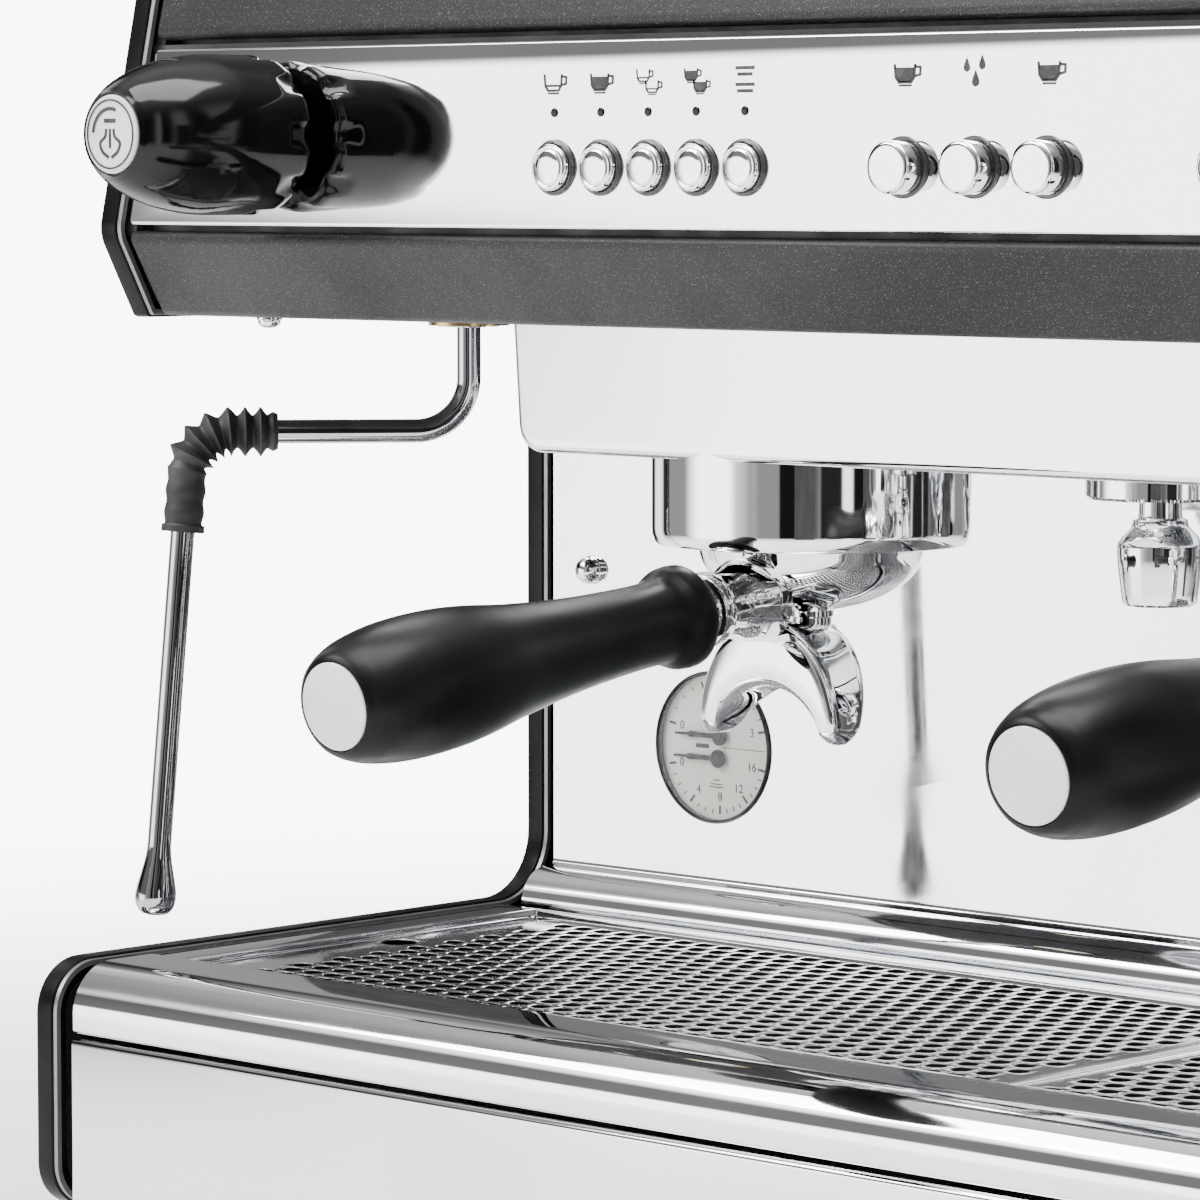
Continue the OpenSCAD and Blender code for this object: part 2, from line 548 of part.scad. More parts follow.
module water_inlet() color("#b08d3e") difference() {
  union() {
    cyl_y(-210, body_rear - 5.9, 309.5, 110, 13);
    cyl_y(-210, 250, 321.2, 110, 8.3);
  }
  cyl_y(-210, 240, 330, 110, 5.5);
}
module cable_gland() color("#1a1a1c") difference() {
  union() {
    cyl_y(-260, body_rear - 5.9, 320, 110, 12);
    cyl_y(-260, 295, body_rear, 110, 9);
  }
  cyl_y(-260, 280, 330, 110, 5.5);
}

frame();
feet();
side_panels();
edge_trims();
front_panel();
tray_surround();
drip_basin();
grille_left();
grille_right();
waste_cup();
backsplash();
upper_fascia();
control_panel();
lower_fascia();
fascia_frame();
group_cover();
cup_deck();
cup_rail();
rear_panel();
fasteners();
gauge_case();
gauge_pointer_boiler();
gauge_pointer_pump();
dose_bezels();
dose_button_l1();
dose_button_l2();
dose_button_l3();
dose_button_l4();
dose_button_l5();
dose_button_r1();
dose_button_r2();
dose_button_r3();
dose_button_r4();
dose_button_r5();
center_button_left();
center_button_mid();
center_button_right();
steam_knob_left();
steam_knob_right();
steam_valves();
wand_left();
wand_right();
wand_sleeve_left();
wand_sleeve_right();
group_heads();
group_bells();
portafilter_left();
portafilter_right();
filter_basket_left();
filter_basket_right();
handle_left();
handle_right();
hot_water_outlet();
boiler();
pump_unit();
solenoid_valves();
control_box();
pipework();
water_inlet();
cable_gland();
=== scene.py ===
"""Looks of a two-group espresso machine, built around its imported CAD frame.

Shapes are worked out in millimetres in the frame's own axes (+Z up, front towards -Y) and become metres
when a mesh is made. Left and right are the viewer's.
"""

import json
import math
import random
from math import atan2, cos, pi, radians, sin

import bmesh
import bpy
from mathutils import Matrix, Vector


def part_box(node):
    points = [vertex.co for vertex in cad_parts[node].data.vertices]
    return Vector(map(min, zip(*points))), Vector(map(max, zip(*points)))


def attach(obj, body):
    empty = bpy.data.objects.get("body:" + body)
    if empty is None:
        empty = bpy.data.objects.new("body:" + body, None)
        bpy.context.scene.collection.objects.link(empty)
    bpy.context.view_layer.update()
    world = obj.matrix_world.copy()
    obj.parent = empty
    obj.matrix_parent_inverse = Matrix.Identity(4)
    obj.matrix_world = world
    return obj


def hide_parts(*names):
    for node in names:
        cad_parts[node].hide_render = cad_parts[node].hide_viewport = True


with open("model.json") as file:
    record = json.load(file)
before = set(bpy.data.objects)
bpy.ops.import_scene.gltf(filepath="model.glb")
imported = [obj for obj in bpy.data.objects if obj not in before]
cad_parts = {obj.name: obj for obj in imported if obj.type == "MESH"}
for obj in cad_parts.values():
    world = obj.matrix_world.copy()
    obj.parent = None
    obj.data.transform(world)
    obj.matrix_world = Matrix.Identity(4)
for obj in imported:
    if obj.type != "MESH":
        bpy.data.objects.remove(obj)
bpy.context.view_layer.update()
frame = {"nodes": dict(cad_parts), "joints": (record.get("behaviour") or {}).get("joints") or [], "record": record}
scene = bpy.context.scene
random.seed(7)
MM = 0.001

# ---------- sizes shared with the CAD, in mm ----------
TRIM_WIDTH, TRIM_DEPTH = 8, 6
RIM_Z, UNDER_Z, BASE_Z = 132, 335.4, 52
NOSE_Y, NOSE_Z = -195.3, 362.3
LEAN = 0.2161  # backward lean of the upper front
HANDLE_TILT = radians(6.7)
HANDLE_ROOT = (30, 256)  # in front of the group axis, and height
TUBE_R = 3.8
TRAY_LOW_Z = 109.5  # lower edge of the rounded tray front
SCREW_X, SCREW_Z = 328.3, 245.7  # backsplash screws
SHARP = 32  # edges sharper than this many degrees stay sharp


def span(node):
    """A CAD node's lowest and highest corners in mm."""
    lo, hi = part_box(node)
    return lo / MM, hi / MM


def centre(node):
    lo, hi = span(node)
    return (lo + hi) / 2


def joint_at(name):
    """Where a joint's axis is, in mm."""
    return next(Vector(joint["pos_m"]) / MM for joint in frame["joints"] if joint["name"] == name)


SIDES = ("left", "right")
BUTTONS = [node for node in frame["nodes"] if node.startswith(("dose_button", "center_button"))]
GROUPS = [centre("filter_basket_" + side) for side in SIDES]
trim_lo, trim_hi = span("edge_trims")
HALF = trim_hi.x
INNER = HALF - TRIM_WIDTH
FRONT, REAR, TOP = trim_lo.y, trim_hi.y, trim_hi.z
PANEL_LO, PANEL_HI = span("control_panel")
PANEL_Y = PANEL_LO.y
GRILLE_LO, GRILLE_HI = span("grille_right")
TOP_FRONT_Y = NOSE_Y + (TOP - NOSE_Z) * LEAN
LOW_FRONT_Y = NOSE_Y + (NOSE_Z - UNDER_Z) * 0.5466


# ---------- materials ----------
MAT = {}


class Graph:
    """A node tree with short ways to add to it."""

    def __init__(self, tree):
        self.nodes, self.links = tree.nodes, tree.links

    def add(self, kind, **values):
        """A new node. A value that is an output is linked in, any other is set."""
        node = self.nodes.new("ShaderNode" + kind)
        for key, value in values.items():
            if isinstance(value, bpy.types.NodeSocket):
                self.links.new(value, node.inputs[key.replace("_", " ")])
            else:
                node.inputs[key.replace("_", " ")].default_value = value
        return node

    def step(self, value, low, high, to_low=0.0, to_high=1.0):
        """A smooth step from one pair of numbers to another."""
        node = self.add("MapRange", Value=value, From_Min=low, From_Max=high, To_Min=to_low, To_Max=to_high)
        node.interpolation_type = "SMOOTHSTEP"
        return node.outputs["Result"]


class Shader(Graph):
    """A principled material, entered in MAT, with short ways to add procedural detail."""

    def __init__(self, name, color, metallic=0.0, roughness=0.5, **sockets):
        MAT[name] = bpy.data.materials.new(name)
        MAT[name].use_nodes = True
        super().__init__(MAT[name].node_tree)
        self.bsdf = self.nodes["Principled BSDF"]
        self.color, self.roughness, self.height = (*color, 1.0), roughness, None
        values = {"Base_Color": self.color, "Metallic": metallic, "Roughness": roughness, **sockets}
        for key, value in values.items():
            self.bsdf.inputs[key.replace("_", " ")].default_value = value

    def noise(self, scale, stretch, detail):
        coords = self.add("TexCoord").outputs["Object"]
        vector = self.add("Mapping", Vector=coords, Scale=stretch).outputs["Vector"]
        return self.add("TexNoise", Vector=vector, Scale=scale, Detail=detail).outputs["Fac"]

    def rough(self, scale, amount, stretch=(1, 1, 1)):
        """Lets the roughness wander by an amount."""
        low, high = max(0.0, self.roughness - amount), self.roughness + amount
        out = self.step(self.noise(scale, stretch, 4.0), 0.3, 0.7, low, high)
        self.links.new(out, self.bsdf.inputs["Roughness"])
        return self

    def blotch(self, scale, other, low=0.45, high=0.6, stretch=(1, 1, 1), detail=3.0):
        """Mixes a second colour in where a noise is high."""
        mix = self.add("Mix")
        mix.data_type = "RGBA"
        source = self.bsdf.inputs["Base Color"].links
        if source:
            self.links.new(source[0].from_socket, mix.inputs["A"])
        else:
            mix.inputs["A"].default_value = self.color
        mix.inputs["B"].default_value = (*other, 1.0)
        factor = self.step(self.noise(scale, stretch, detail), low, high)
        self.links.new(factor, mix.inputs["Factor"])
        self.links.new(mix.outputs["Result"], self.bsdf.inputs["Base Color"])
        return self

    def bump(self, scale, strength, depth_mm, stretch=(1, 1, 1)):
        """Raises the surface by a noise, on top of earlier bumps."""
        node = self.add("Bump", Strength=strength, Distance=depth_mm * MM, Height=self.noise(scale, stretch, 2.0))
        if self.height:
            self.links.new(self.height, node.inputs["Normal"])
        self.height = node.outputs["Normal"]
        self.links.new(self.height, self.bsdf.inputs["Normal"])
        return self


# Each look is named by its slot, and is colour, metallic, roughness and layers of noise.
Shader("steel_polished", (0.86, 0.865, 0.875), 1.0, 0.055).rough(26, 0.03).blotch(9, (0.80, 0.81, 0.83)).bump(
    3.5, 0.12, 0.25).bump(900, 0.02, 0.02)
Shader("steel_satin", (0.78, 0.785, 0.795), 1.0, 0.22).rough(40, 0.05, (0.1, 1, 1)).blotch(
    14, (0.72, 0.73, 0.745)).bump(900, 0.12, 0.03, (0.02, 1, 1))
Shader("grille", (0.80, 0.805, 0.815), 1.0, 0.11).rough(35, 0.04).blotch(9, (0.74, 0.745, 0.76)).bump(
    4, 0.1, 0.25).bump(900, 0.03, 0.02)
Shader("panel", (0.90, 0.905, 0.915), 1.0, 0.03).rough(22, 0.012, (0.3, 1, 1)).blotch(5, (0.83, 0.84, 0.855)).bump(
    3, 0.08, 0.2)
Shader("chrome", (0.90, 0.905, 0.91), 1.0, 0.035).rough(60, 0.02).blotch(30, (0.84, 0.85, 0.86)).bump(
    45, 0.05, 0.05)
# tubing: a darkened copy of chrome for the wands, painted shade standing in for the dark reflections they show
Shader("tubing", (0.50, 0.505, 0.52), 1.0, 0.06).rough(60, 0.03).blotch(30, (0.42, 0.425, 0.44)).bump(
    45, 0.05, 0.05)
Shader("body_grey", (0.013, 0.0131, 0.0137), 0.0, 0.48, Specular_IOR_Level=0.28).blotch(
    2400, (0.10, 0.102, 0.108), 0.60, 0.72, detail=1.0).blotch(1300, (0.008, 0.008, 0.009), 0.6, 0.72).rough(
    35, 0.05).bump(1900, 0.25, 0.04)
Shader("trim_black", (0.003, 0.003, 0.0033), 0.0, 0.3, Specular_IOR_Level=0.08).rough(45, 0.08).blotch(
    20, (0.007, 0.007, 0.008)).bump(1100, 0.10, 0.03)
Shader("strip", (0.20, 0.205, 0.21), 0.7, 0.36).rough(80, 0.06).bump(900, 0.08, 0.02)
Shader("plastic_dark", (0.018, 0.018, 0.019), 0.0, 0.5).rough(60, 0.08).blotch(25, (0.028, 0.028, 0.03)).bump(
    1500, 0.2, 0.05)
Shader("handle_black", (0.0025, 0.0025, 0.0027), 0.0, 0.36, Specular_IOR_Level=0.14).rough(30, 0.07).blotch(
    18, (0.0045, 0.0045, 0.0048)).bump(1700, 0.16, 0.04).bump(70, 0.06, 0.15)
Shader("knob_black", (0.002, 0.002, 0.0023), 0.0, 0.12, Specular_IOR_Level=0.28).rough(25, 0.05).bump(
    60, 0.05, 0.12)
Shader("rubber_black", (0.012, 0.012, 0.012), 0.0, 0.62).rough(90, 0.08).blotch(60, (0.03, 0.03, 0.03)).bump(
    1200, 0.3, 0.06)
Shader("bezel_dark", (0.07, 0.071, 0.075), 0.6, 0.3).rough(120, 0.06).bump(900, 0.08, 0.02)
Shader("cap_white", (0.80, 0.81, 0.82), 0.0, 0.22, Coat_Weight=0.5, Coat_Roughness=0.08).rough(80, 0.05).blotch(
    50, (0.72, 0.73, 0.74)).bump(700, 0.04, 0.02)
Shader("ink", (0.012, 0.012, 0.013), 0.0, 0.45).rough(400, 0.1).blotch(300, (0.03, 0.03, 0.032))
Shader("ink_grey", (0.045, 0.045, 0.047), 0.0, 0.5, Specular_IOR_Level=0.2).rough(400, 0.1).blotch(
    300, (0.07, 0.07, 0.073))
Shader("dial_cream", (0.90, 0.88, 0.81), 0.0, 0.55).rough(90, 0.06).blotch(60, (0.86, 0.84, 0.765)).bump(
    1500, 0.05, 0.02)
Shader("glass", (0.9, 0.9, 0.9), 0.0, 0.04, Alpha=0.05, Specular_IOR_Level=0.8).rough(60, 0.02)
Shader("brass", (0.62, 0.44, 0.20), 1.0, 0.24).rough(60, 0.08).blotch(40, (0.48, 0.33, 0.15)).bump(
    500, 0.1, 0.05)
Shader("copper", (0.72, 0.38, 0.24), 1.0, 0.26).rough(30, 0.08).blotch(22, (0.5, 0.25, 0.16)).bump(
    300, 0.1, 0.08)
Shader("frame_steel", (0.06, 0.062, 0.065), 0.2, 0.5).rough(40, 0.08).blotch(25, (0.09, 0.09, 0.095)).bump(
    700, 0.25, 0.08)
Shader("pump_grey", (0.16, 0.165, 0.175), 0.3, 0.45).rough(50, 0.08).blotch(18, (0.11, 0.115, 0.12)).bump(
    600, 0.25, 0.08)
Shader("box_grey", (0.42, 0.44, 0.46), 0.8, 0.36).rough(20, 0.08).blotch(
    12, (0.34, 0.355, 0.37), stretch=(1, 2, 1)).bump(300, 0.12, 0.06)
# basin: near-black, painted shade for the hollow under the grilles; it also lines the grille undersides and hole
# walls
Shader("basin", (0.035, 0.036, 0.038), 0.6, 0.5).rough(40, 0.08).blotch(20, (0.02, 0.021, 0.022)).bump(
    400, 0.15, 0.05)
Shader("pointer_black", (0.01, 0.01, 0.011), 0.0, 0.4, Specular_IOR_Level=0.2).rough(300, 0.08).blotch(
    200, (0.04, 0.04, 0.042))
Shader("led", (0.004, 0.004, 0.0045), 0.0, 0.2, Specular_IOR_Level=0.2).rough(300, 0.03)


# ---------- mesh building ----------
def arc(cx, cy, r, start, end, n=12):
    """Points on a circle from one angle to another, in degrees."""
    return [(cx + r * cos(radians(start + (end - start) * k / n)), cy
            + r * sin(radians(start + (end - start) * k / n))) for k in range(n + 1)]


def fillet(points, radii, n=12):
    """A closed outline with each corner rounded to its radius, always n + 1 points a corner."""
    out = []
    for i, (point, radius) in enumerate(zip(points, radii)):
        c = Vector(point)
        u = (Vector(points[i - 1]) - c).normalized()
        v = (Vector(points[(i + 1) % len(points)]) - c).normalized()
        half = math.acos(max(-1, min(1, u.dot(v)))) / 2
        radius = max(radius, 0.02)
        m = c + (u + v).normalized() * radius / sin(half)
        s, f = c + u * radius / math.tan(half) - m, c + v * radius / math.tan(half) - m
        turn = (atan2(f.y, f.x) - atan2(s.y, s.x) + pi) % (2 * pi) - pi
        for k in range(n + 1):
            a = atan2(s.y, s.x) + turn * k / n
            out.append((m.x + radius * cos(a), m.y + radius * sin(a)))
    return out


def inset(points, d):
    """A counter-clockwise outline moved inwards by d."""
    out = []
    for i, point in enumerate(points):
        c = Vector(point)
        u = (c - Vector(points[i - 1])).normalized()
        v = (Vector(points[(i + 1) % len(points)]) - c).normalized()
        nu, nv = Vector((-u.y, u.x)), Vector((-v.y, v.x))
        out.append(tuple(c + (nu + nv) * d / (1 + nu.dot(nv))))
    return out


def curve(points, n=8):
    """A smooth curve through the given points with n steps between each two."""
    p = [Vector(q) for q in points]
    p = [p[0] * 2 - p[1], *p, p[-1] * 2 - p[-2]]
    out = []
    for i in range(1, len(p) - 2):
        for k in range(n):
            t = k / n
            out.append(tuple(0.5 * ((2 * p[i]) + (p[i + 1] - p[i - 1]) * t
                    + (2 * p[i - 1] - 5 * p[i] + 4 * p[i + 1] - p[i + 2]) * t * t
                    + (3 * p[i] - p[i - 1] - 3 * p[i + 1] + p[i + 2]) * t ** 3)))
    return [*out, tuple(p[-2])]


def axes(direction):
    """A rotation that takes +Z to the direction."""
    return Vector(direction).normalized().to_track_quat("Z", "Y").to_matrix()


def lathe(profile, origin=(0, 0, 0), direction=(0, 0, 1), n=96, wobble=None):
    """A profile of (radius, height) turned round an axis. A closed profile makes a ring."""
    turn, o = axes(direction), Vector(origin)
    closed = profile[0] == profile[-1]
    rows = profile[:-1] if closed else profile
    verts, index = [], []
    for r, h in rows:
        if r < 1e-6:
            index.append([len(verts)] * n)
            verts.append(o + turn @ Vector((0, 0, h)))
            continue
        index.append(list(range(len(verts), len(verts) + n)))
        for k in range(n):
            a = 2 * pi * k / n
            rr = r + (wobble(a, h) if wobble else 0)
            verts.append(o + turn @ Vector((rr * cos(a), rr * sin(a), h)))
    faces = []
    for i in range(len(rows) if closed else len(rows) - 1):
        a, b = index[i], index[(i + 1) % len(rows)]
        for k in range(n):
            j = (k + 1) % n
            face = list(dict.fromkeys([a[k], a[j], b[j], b[k]]))
            if len(face) > 2:
                faces.append(face)
    for ring, row, flip in ((index[0], rows[0], True), (index[-1], rows[-1], False)):
        if not closed and row[0] > 1e-6:
            faces.append(ring[::-1] if flip else list(ring))
    return verts, faces


def rod(r, low, high, origin, direction=(0, 0, 1), n=96):
    """A plain cylinder between two heights along an axis."""
    return lathe([(0, low), (r, low), (r, high), (0, high)], origin, direction, n)


def rings(loops, cap=True):
    """Faces between closed loops that all have as many points."""
    n = len(loops[0])
    verts = [Vector(p) for loop in loops for p in loop]
    faces = [[i * n + k, i * n + (k + 1) % n, (i + 1) * n + (k + 1) % n, (i + 1) * n + k]
            for i in range(len(loops) - 1) for k in range(n)]
    if cap:
        faces += [list(range(n))[::-1], list(range(len(verts) - n, len(verts)))]
    return verts, faces


def rounding(edge, n):
    """How far in and how far along each step of a quarter round lies."""
    turns = [pi / 2 * k / n for k in range(n + 1)]
    return [(edge * (1 - sin(a)), edge * (1 - cos(a))) for a in turns]


def prism(outline, low, high, plane="x", edge=0.0):
    """An outline extruded along an axis, its end rims rounded by edge. Outline points are the two other axes."""
    def put(p, at):
        return {"x": (at, p[0], p[1]), "y": (p[0], at, p[1]), "z": (p[0], p[1], at)}[plane]
    if edge <= 0:
        return rings([[put(p, at) for p in outline] for at in (low, high)])
    area = sum(a[0] * b[1] - b[0] * a[1] for a, b in zip(outline, outline[1:] + outline[:1]))
    sign = 1 if area > 0 else -1
    steps = rounding(edge, 3)
    loops = [[put(p, low + d) for p in inset(outline, sign * i)] for i, d in steps]
    loops += [[put(p, high - d) for p in inset(outline, sign * i)] for i, d in reversed(steps)]
    return rings(loops)


def block(x0, x1, y0, y1, z0, z1, edge=0.4):
    return prism([(x0, y0), (x1, y0), (x1, y1), (x0, y1)], z0, z1, "z", edge)


def round_path(points, radii, step=1.5):
    """A path with its corners rounded, as evenly spaced points."""
    p = [Vector(q) for q in points]
    out = [p[0]]
    for i in range(1, len(p) - 1):
        u, v = (p[i - 1] - p[i]).normalized(), (p[i + 1] - p[i]).normalized()
        half = u.angle(v) / 2
        reach = radii[i] / math.tan(half)
        m = p[i] + (u + v).normalized() * radii[i] / sin(half)
        a, b = p[i] + u * reach - m, p[i] + v * reach - m
        total = a.angle(b)
        n = max(4, int(radii[i] * total / step))
        for k in range(n + 1):
            t = k / n
            out.append(m + (a * sin((1 - t) * total) + b * sin(t * total)) / sin(total))
    out.append(p[-1])
    fine = [out[0]]
    for q in out[1:]:
        gap = (q - fine[-1]).length
        n = max(1, int(gap / step))
        start = fine[-1].copy()
        fine += [start.lerp(q, (k + 1) / n) for k in range(n)]
    return fine


def tube(path, radius, n=24):
    """A round tube along a path. radius is a number, or a function of the distance along it."""
    path = [Vector(p) for p in path]
    tangents = [(path[min(i + 1, len(path) - 1)] - path[max(i - 1, 0)]).normalized() for i in range(len(path))]
    side = tangents[0].orthogonal().normalized()
    loops, run = [], 0.0
    for i, (p, t) in enumerate(zip(path, tangents)):
        if i:
            run += (p - path[i - 1]).length
            side = (side - t * side.dot(t)).normalized()
        other = t.cross(side)
        r = radius(run) if callable(radius) else radius
        loops.append([p + (side * cos(2 * pi * k / n) + other * sin(2 * pi * k / n)) * r for k in range(n)])
    return rings(loops)


def piece(name, parts, material, node=None, body="machine", sharp=SHARP):
    """Makes one object from (vertices in mm, faces) parts in a look, and ties it to a body and the node it replaces.
    """
    bm = bmesh.new()
    for verts, faces in parts:
        made = [bm.verts.new(Vector(v) * MM) for v in verts]
        for face in faces:
            try:
                bm.faces.new([made[i] for i in face])
            except ValueError:
                continue
    bmesh.ops.remove_doubles(bm, verts=bm.verts, dist=0.002 * MM)
    bmesh.ops.recalc_face_normals(bm, faces=bm.faces)
    mesh = bpy.data.meshes.new(name)
    bm.to_mesh(mesh)
    bm.free()
    mesh.shade_smooth()
    mesh.set_sharp_from_angle(angle=radians(sharp))
    mesh.materials.append(MAT[material])
    obj = bpy.data.objects.new(name, mesh)
    scene.collection.objects.link(obj)
    if body:
        tie(obj, body, node)
    return obj


def tie(obj, body, node):
    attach(obj, body)
    if node:
        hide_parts(node)


def cut(obj, cutters):
    """Takes the cutters' shapes out of a piece."""
    tool = piece(obj.name + "_tool", cutters, "ink", body=None)
    mod = obj.modifiers.new("cut", "BOOLEAN")
    mod.operation, mod.object, mod.solver = "DIFFERENCE", tool, "EXACT"
    dg = bpy.context.evaluated_depsgraph_get()
    mesh = bpy.data.meshes.new_from_object(obj.evaluated_get(dg))
    obj.modifiers.clear()
    obj.data = mesh
    mesh.shade_smooth()
    mesh.set_sharp_from_angle(angle=radians(SHARP))
    bpy.data.objects.remove(tool)


def mirrored(parts):
    return [([(-v[0], v[1], v[2]) for v in verts], [f[::-1] for f in faces]) for verts, faces in parts]


# ---------- body ----------
SIDE_POINTS = [(FRONT, BASE_Z), (REAR, BASE_Z), (REAR, TOP), (TOP_FRONT_Y, TOP), (NOSE_Y, NOSE_Z),
        (LOW_FRONT_Y, UNDER_Z), (0, UNDER_Z), (0, RIM_Z), (FRONT, RIM_Z)]
SIDE_RADII = [15, 15, 15, 14, 12, 2, 22, 22, 17]
HOLLOW_CORNERS = (6, 7)


def side_outline(d):
    """The side's C-shaped outline, moved in by d."""
    radii = [r + d if i in HOLLOW_CORNERS else max(0.5, r - d) for i, r in enumerate(SIDE_RADII)]
    return fillet(inset(SIDE_POINTS, d), radii)


def side_band(section):
    """A band along the side's outline, from a closed section of (x, inset) points."""
    loops = [[(x, *p) for p in side_outline(d)] for x, d in section]
    return rings([*loops, loops[0]], cap=False)


def build_body():
    round_edge = [(INNER, 0.4), (INNER + 0.4, 0.05), (HALF - 1.6, 0.0), (HALF - 0.8, 0.2), (HALF - 0.25, 0.8),
            (HALF, 1.6), (HALF, TRIM_DEPTH - 0.4), (HALF - 0.4, TRIM_DEPTH), (INNER, TRIM_DEPTH)]
    band = side_band(round_edge)
    piece("edge_trims_round", [band, *mirrored([band])], "trim_black", "edge_trims")
    strip = side_band([(INNER - 1.5, 0.9), (INNER - 0.1, 0.7), (INNER - 0.1, 2.6), (INNER - 1.5, 2.6)])
    piece("edge_strips", [strip, *mirrored([strip])], "strip")
    skin = rings([[(x, *p) for p in side_outline(TRIM_DEPTH + d)] for x, d in ((HALF - 5.5, 0.3),
            (HALF - 2.1, 0.3), (HALF - 1.7, 0.5), (HALF - 1.5, 1.0))])
    piece("side_skins", [skin, *mirrored([skin])], "body_grey", "side_panels")
    end = INNER - 5
    front_y = FRONT + 2
    panel = fillet([(front_y, BASE_Z + 3), (front_y + 6, BASE_Z + 3), (front_y + 6, 108.2), (front_y, 108.2)],
            [2.2, 0.5, 0.5, 2.2])
    piece("front_panel_sheet", [prism(panel, 2 - end, end - 2, "x", 0.5)], "steel_polished", "front_panel")


def folded(path, radii, thickness):
    """Outline of a sheet folded along a path of (y, z) points."""
    line = [Vector((p.x, p.y)) for p in round_path([(y, z, 0) for y, z in path], radii, 0.8)]
    out, back = [], []
    for i, p in enumerate(line):
        t = (line[min(i + 1, len(line) - 1)] - line[max(i - 1, 0)]).normalized()
        n = Vector((-t.y, t.x)) * thickness / 2
        out.append(tuple(p + n))
        back.append(tuple(p - n))
    return out + back[::-1]


def lean_y(z):
    return NOSE_Y + (z - NOSE_Z) * LEAN


def build_fascias():
    end = INNER - 5
    low_z = PANEL_HI.z + 3.6
    upper = folded([(lean_y(low_z) + 9, low_z + 0.8), (lean_y(low_z) + 1.8, low_z + 0.8),
            (TOP_FRONT_Y + 3, TOP - 2), (-121, TOP - 2)], [0, 1.6, 8, 0], 1.6)
    piece("upper_fascia_sheet", [prism(upper, -end, end, "x", 0.3)], "body_grey", "upper_fascia")
    lower = folded([(-5, UNDER_Z + 1.5), (LOW_FRONT_Y + 2.4, UNDER_Z + 1.5), (NOSE_Y + 2.2, NOSE_Z),
            (NOSE_Y + 13, NOSE_Z)], [0, 2.4, 1.6, 0], 1.5)
    sheet = piece("lower_fascia_sheet", [prism(lower, -end, end, "x", 0.3)], "body_grey", "lower_fascia")
    wand = joint_at("wand_right_swing")
    holes = [rod(15.4, UNDER_Z - 6, UNDER_Z + 9, (s * wand.x, wand.y, 0), n=48) for s in (-1, 1)]
    cover = span("group_cover")[1].x
    cut(sheet, [*holes, block(-cover - 0.4, cover + 0.4, -170.4, 20, UNDER_Z - 4, UNDER_Z + 9, 0)])
    corners = [(-PANEL_HI.x, PANEL_LO.z), (PANEL_HI.x, PANEL_LO.z), (333, PANEL_HI.z), (-333, PANEL_HI.z)]
    face = prism(fillet(corners, [1.6] * 4, 6), PANEL_Y, PANEL_Y + 9, "y", 0.8)
    plate = piece("control_panel_plate", [face], "panel", "control_panel")
    holes = [(centre(node), 7.5, 48) for node in BUTTONS]
    holes += [(centre("steam_knob_" + side), 13, 64) for side in SIDES]
    cut(plate, [rod(r, 0, 30, (c.x, PANEL_Y - 5, c.z), (0, 1, 0), n) for c, r, n in holes])


def build_gap_shade_strips():
    """Dark strips behind the gaps above and below the control panel: painted shade, closing the view through the
    gaps.
    """
    parts = [block(-INNER + 6, INNER - 6, lean_y(z) + 11, lean_y(z) + 12.5, z - 5, z + 6, 0.2)
            for z in (PANEL_HI.z + 1.5, PANEL_LO.z - 1.5)]
    piece("gap_shade_strips", parts, "plastic_dark")


def build_cover():
    """The polished tub over the groups: front, sides and bottom, open at the back and the top."""
    lo, hi = span("group_cover")
    low, high, front, back = lo.z, hi.z, lo.y, hi.y
    side, flare = 197.5, hi.x
    spare = 8  # built taller, then cut open at its true height
    wide = flare + (flare - side) * spare / (high - low)
    outer = fillet([(-wide, high + spare), (-side, low), (side, low), (wide, high + spare)], [4, 9, 9, 4], 16)
    edge, wall = 2.5, 1.2
    shell = [[(x, front + d, z) for x, z in inset(outer, i)] for i, d in rounding(edge, 5)]
    shell += [[(x, back, z) for x, z in outer], [(x, back, z) for x, z in inset(outer, wall)],
            [(x, front + 3, z) for x, z in inset(outer, wall)]]
    tub = piece("group_cover_tub", [rings(shell)], "steel_polished", "group_cover")
    holes = [block(-230, 230, front - 5, back + 5, high, high + 20, 0)]
    holes += [rod(46, low - 5, low + 6, (c.x, c.y, 0)) for c in GROUPS]
    nozzle = centre("hot_water_outlet")
    cut(tub, [*holes, rod(8.5, low - 5, low + 6, (nozzle.x, nozzle.y, 0), n=48)])


# ---------- base ----------
def build_tray():
    end = INNER - 7
    y0, top, inner = span("tray_surround")[0].y, RIM_Z - 0.5, GRILLE_LO.y - 0.8
    outline = [(y0 + 2.2, TRAY_LOW_Z), *arc(y0 + 1.6, 111.1, 1.6, 225, 180, 4),
            *arc(y0 + 16, top - 16, 16, 180, 90, 24), *arc(inner - 1.4, top - 1.4, 1.4, 90, 0, 5),
            (inner, top - 8), (inner - 1.6, top - 8), (inner - 1.6, top - 2.4),
            *arc(y0 + 16, top - 16, 14.2, 90, 180, 16), (y0 + 1.8, TRAY_LOW_Z)]
    bull = prism(outline, -end, end, "x")
    rail_lo, rail_hi = RIM_Z - 5, RIM_Z - 1
    ledge = [prism([(inner - 0.5, rail_lo), (GRILLE_HI.y + 0.4, rail_lo), (GRILLE_HI.y + 0.4, rail_hi),
            (inner - 0.5, rail_hi)], s * 339.5 - 8.5, s * 339.5 + 8.5, "x", 0.7) for s in (-1, 1)]
    rear = block(-end - 3, end + 3, GRILLE_HI.y + 0.5, GRILLE_HI.y + 2.4, 112, RIM_Z - 1.2, 0.5)
    piece("tray_surround_nose", [bull, *ledge, rear], "steel_polished", "tray_surround")


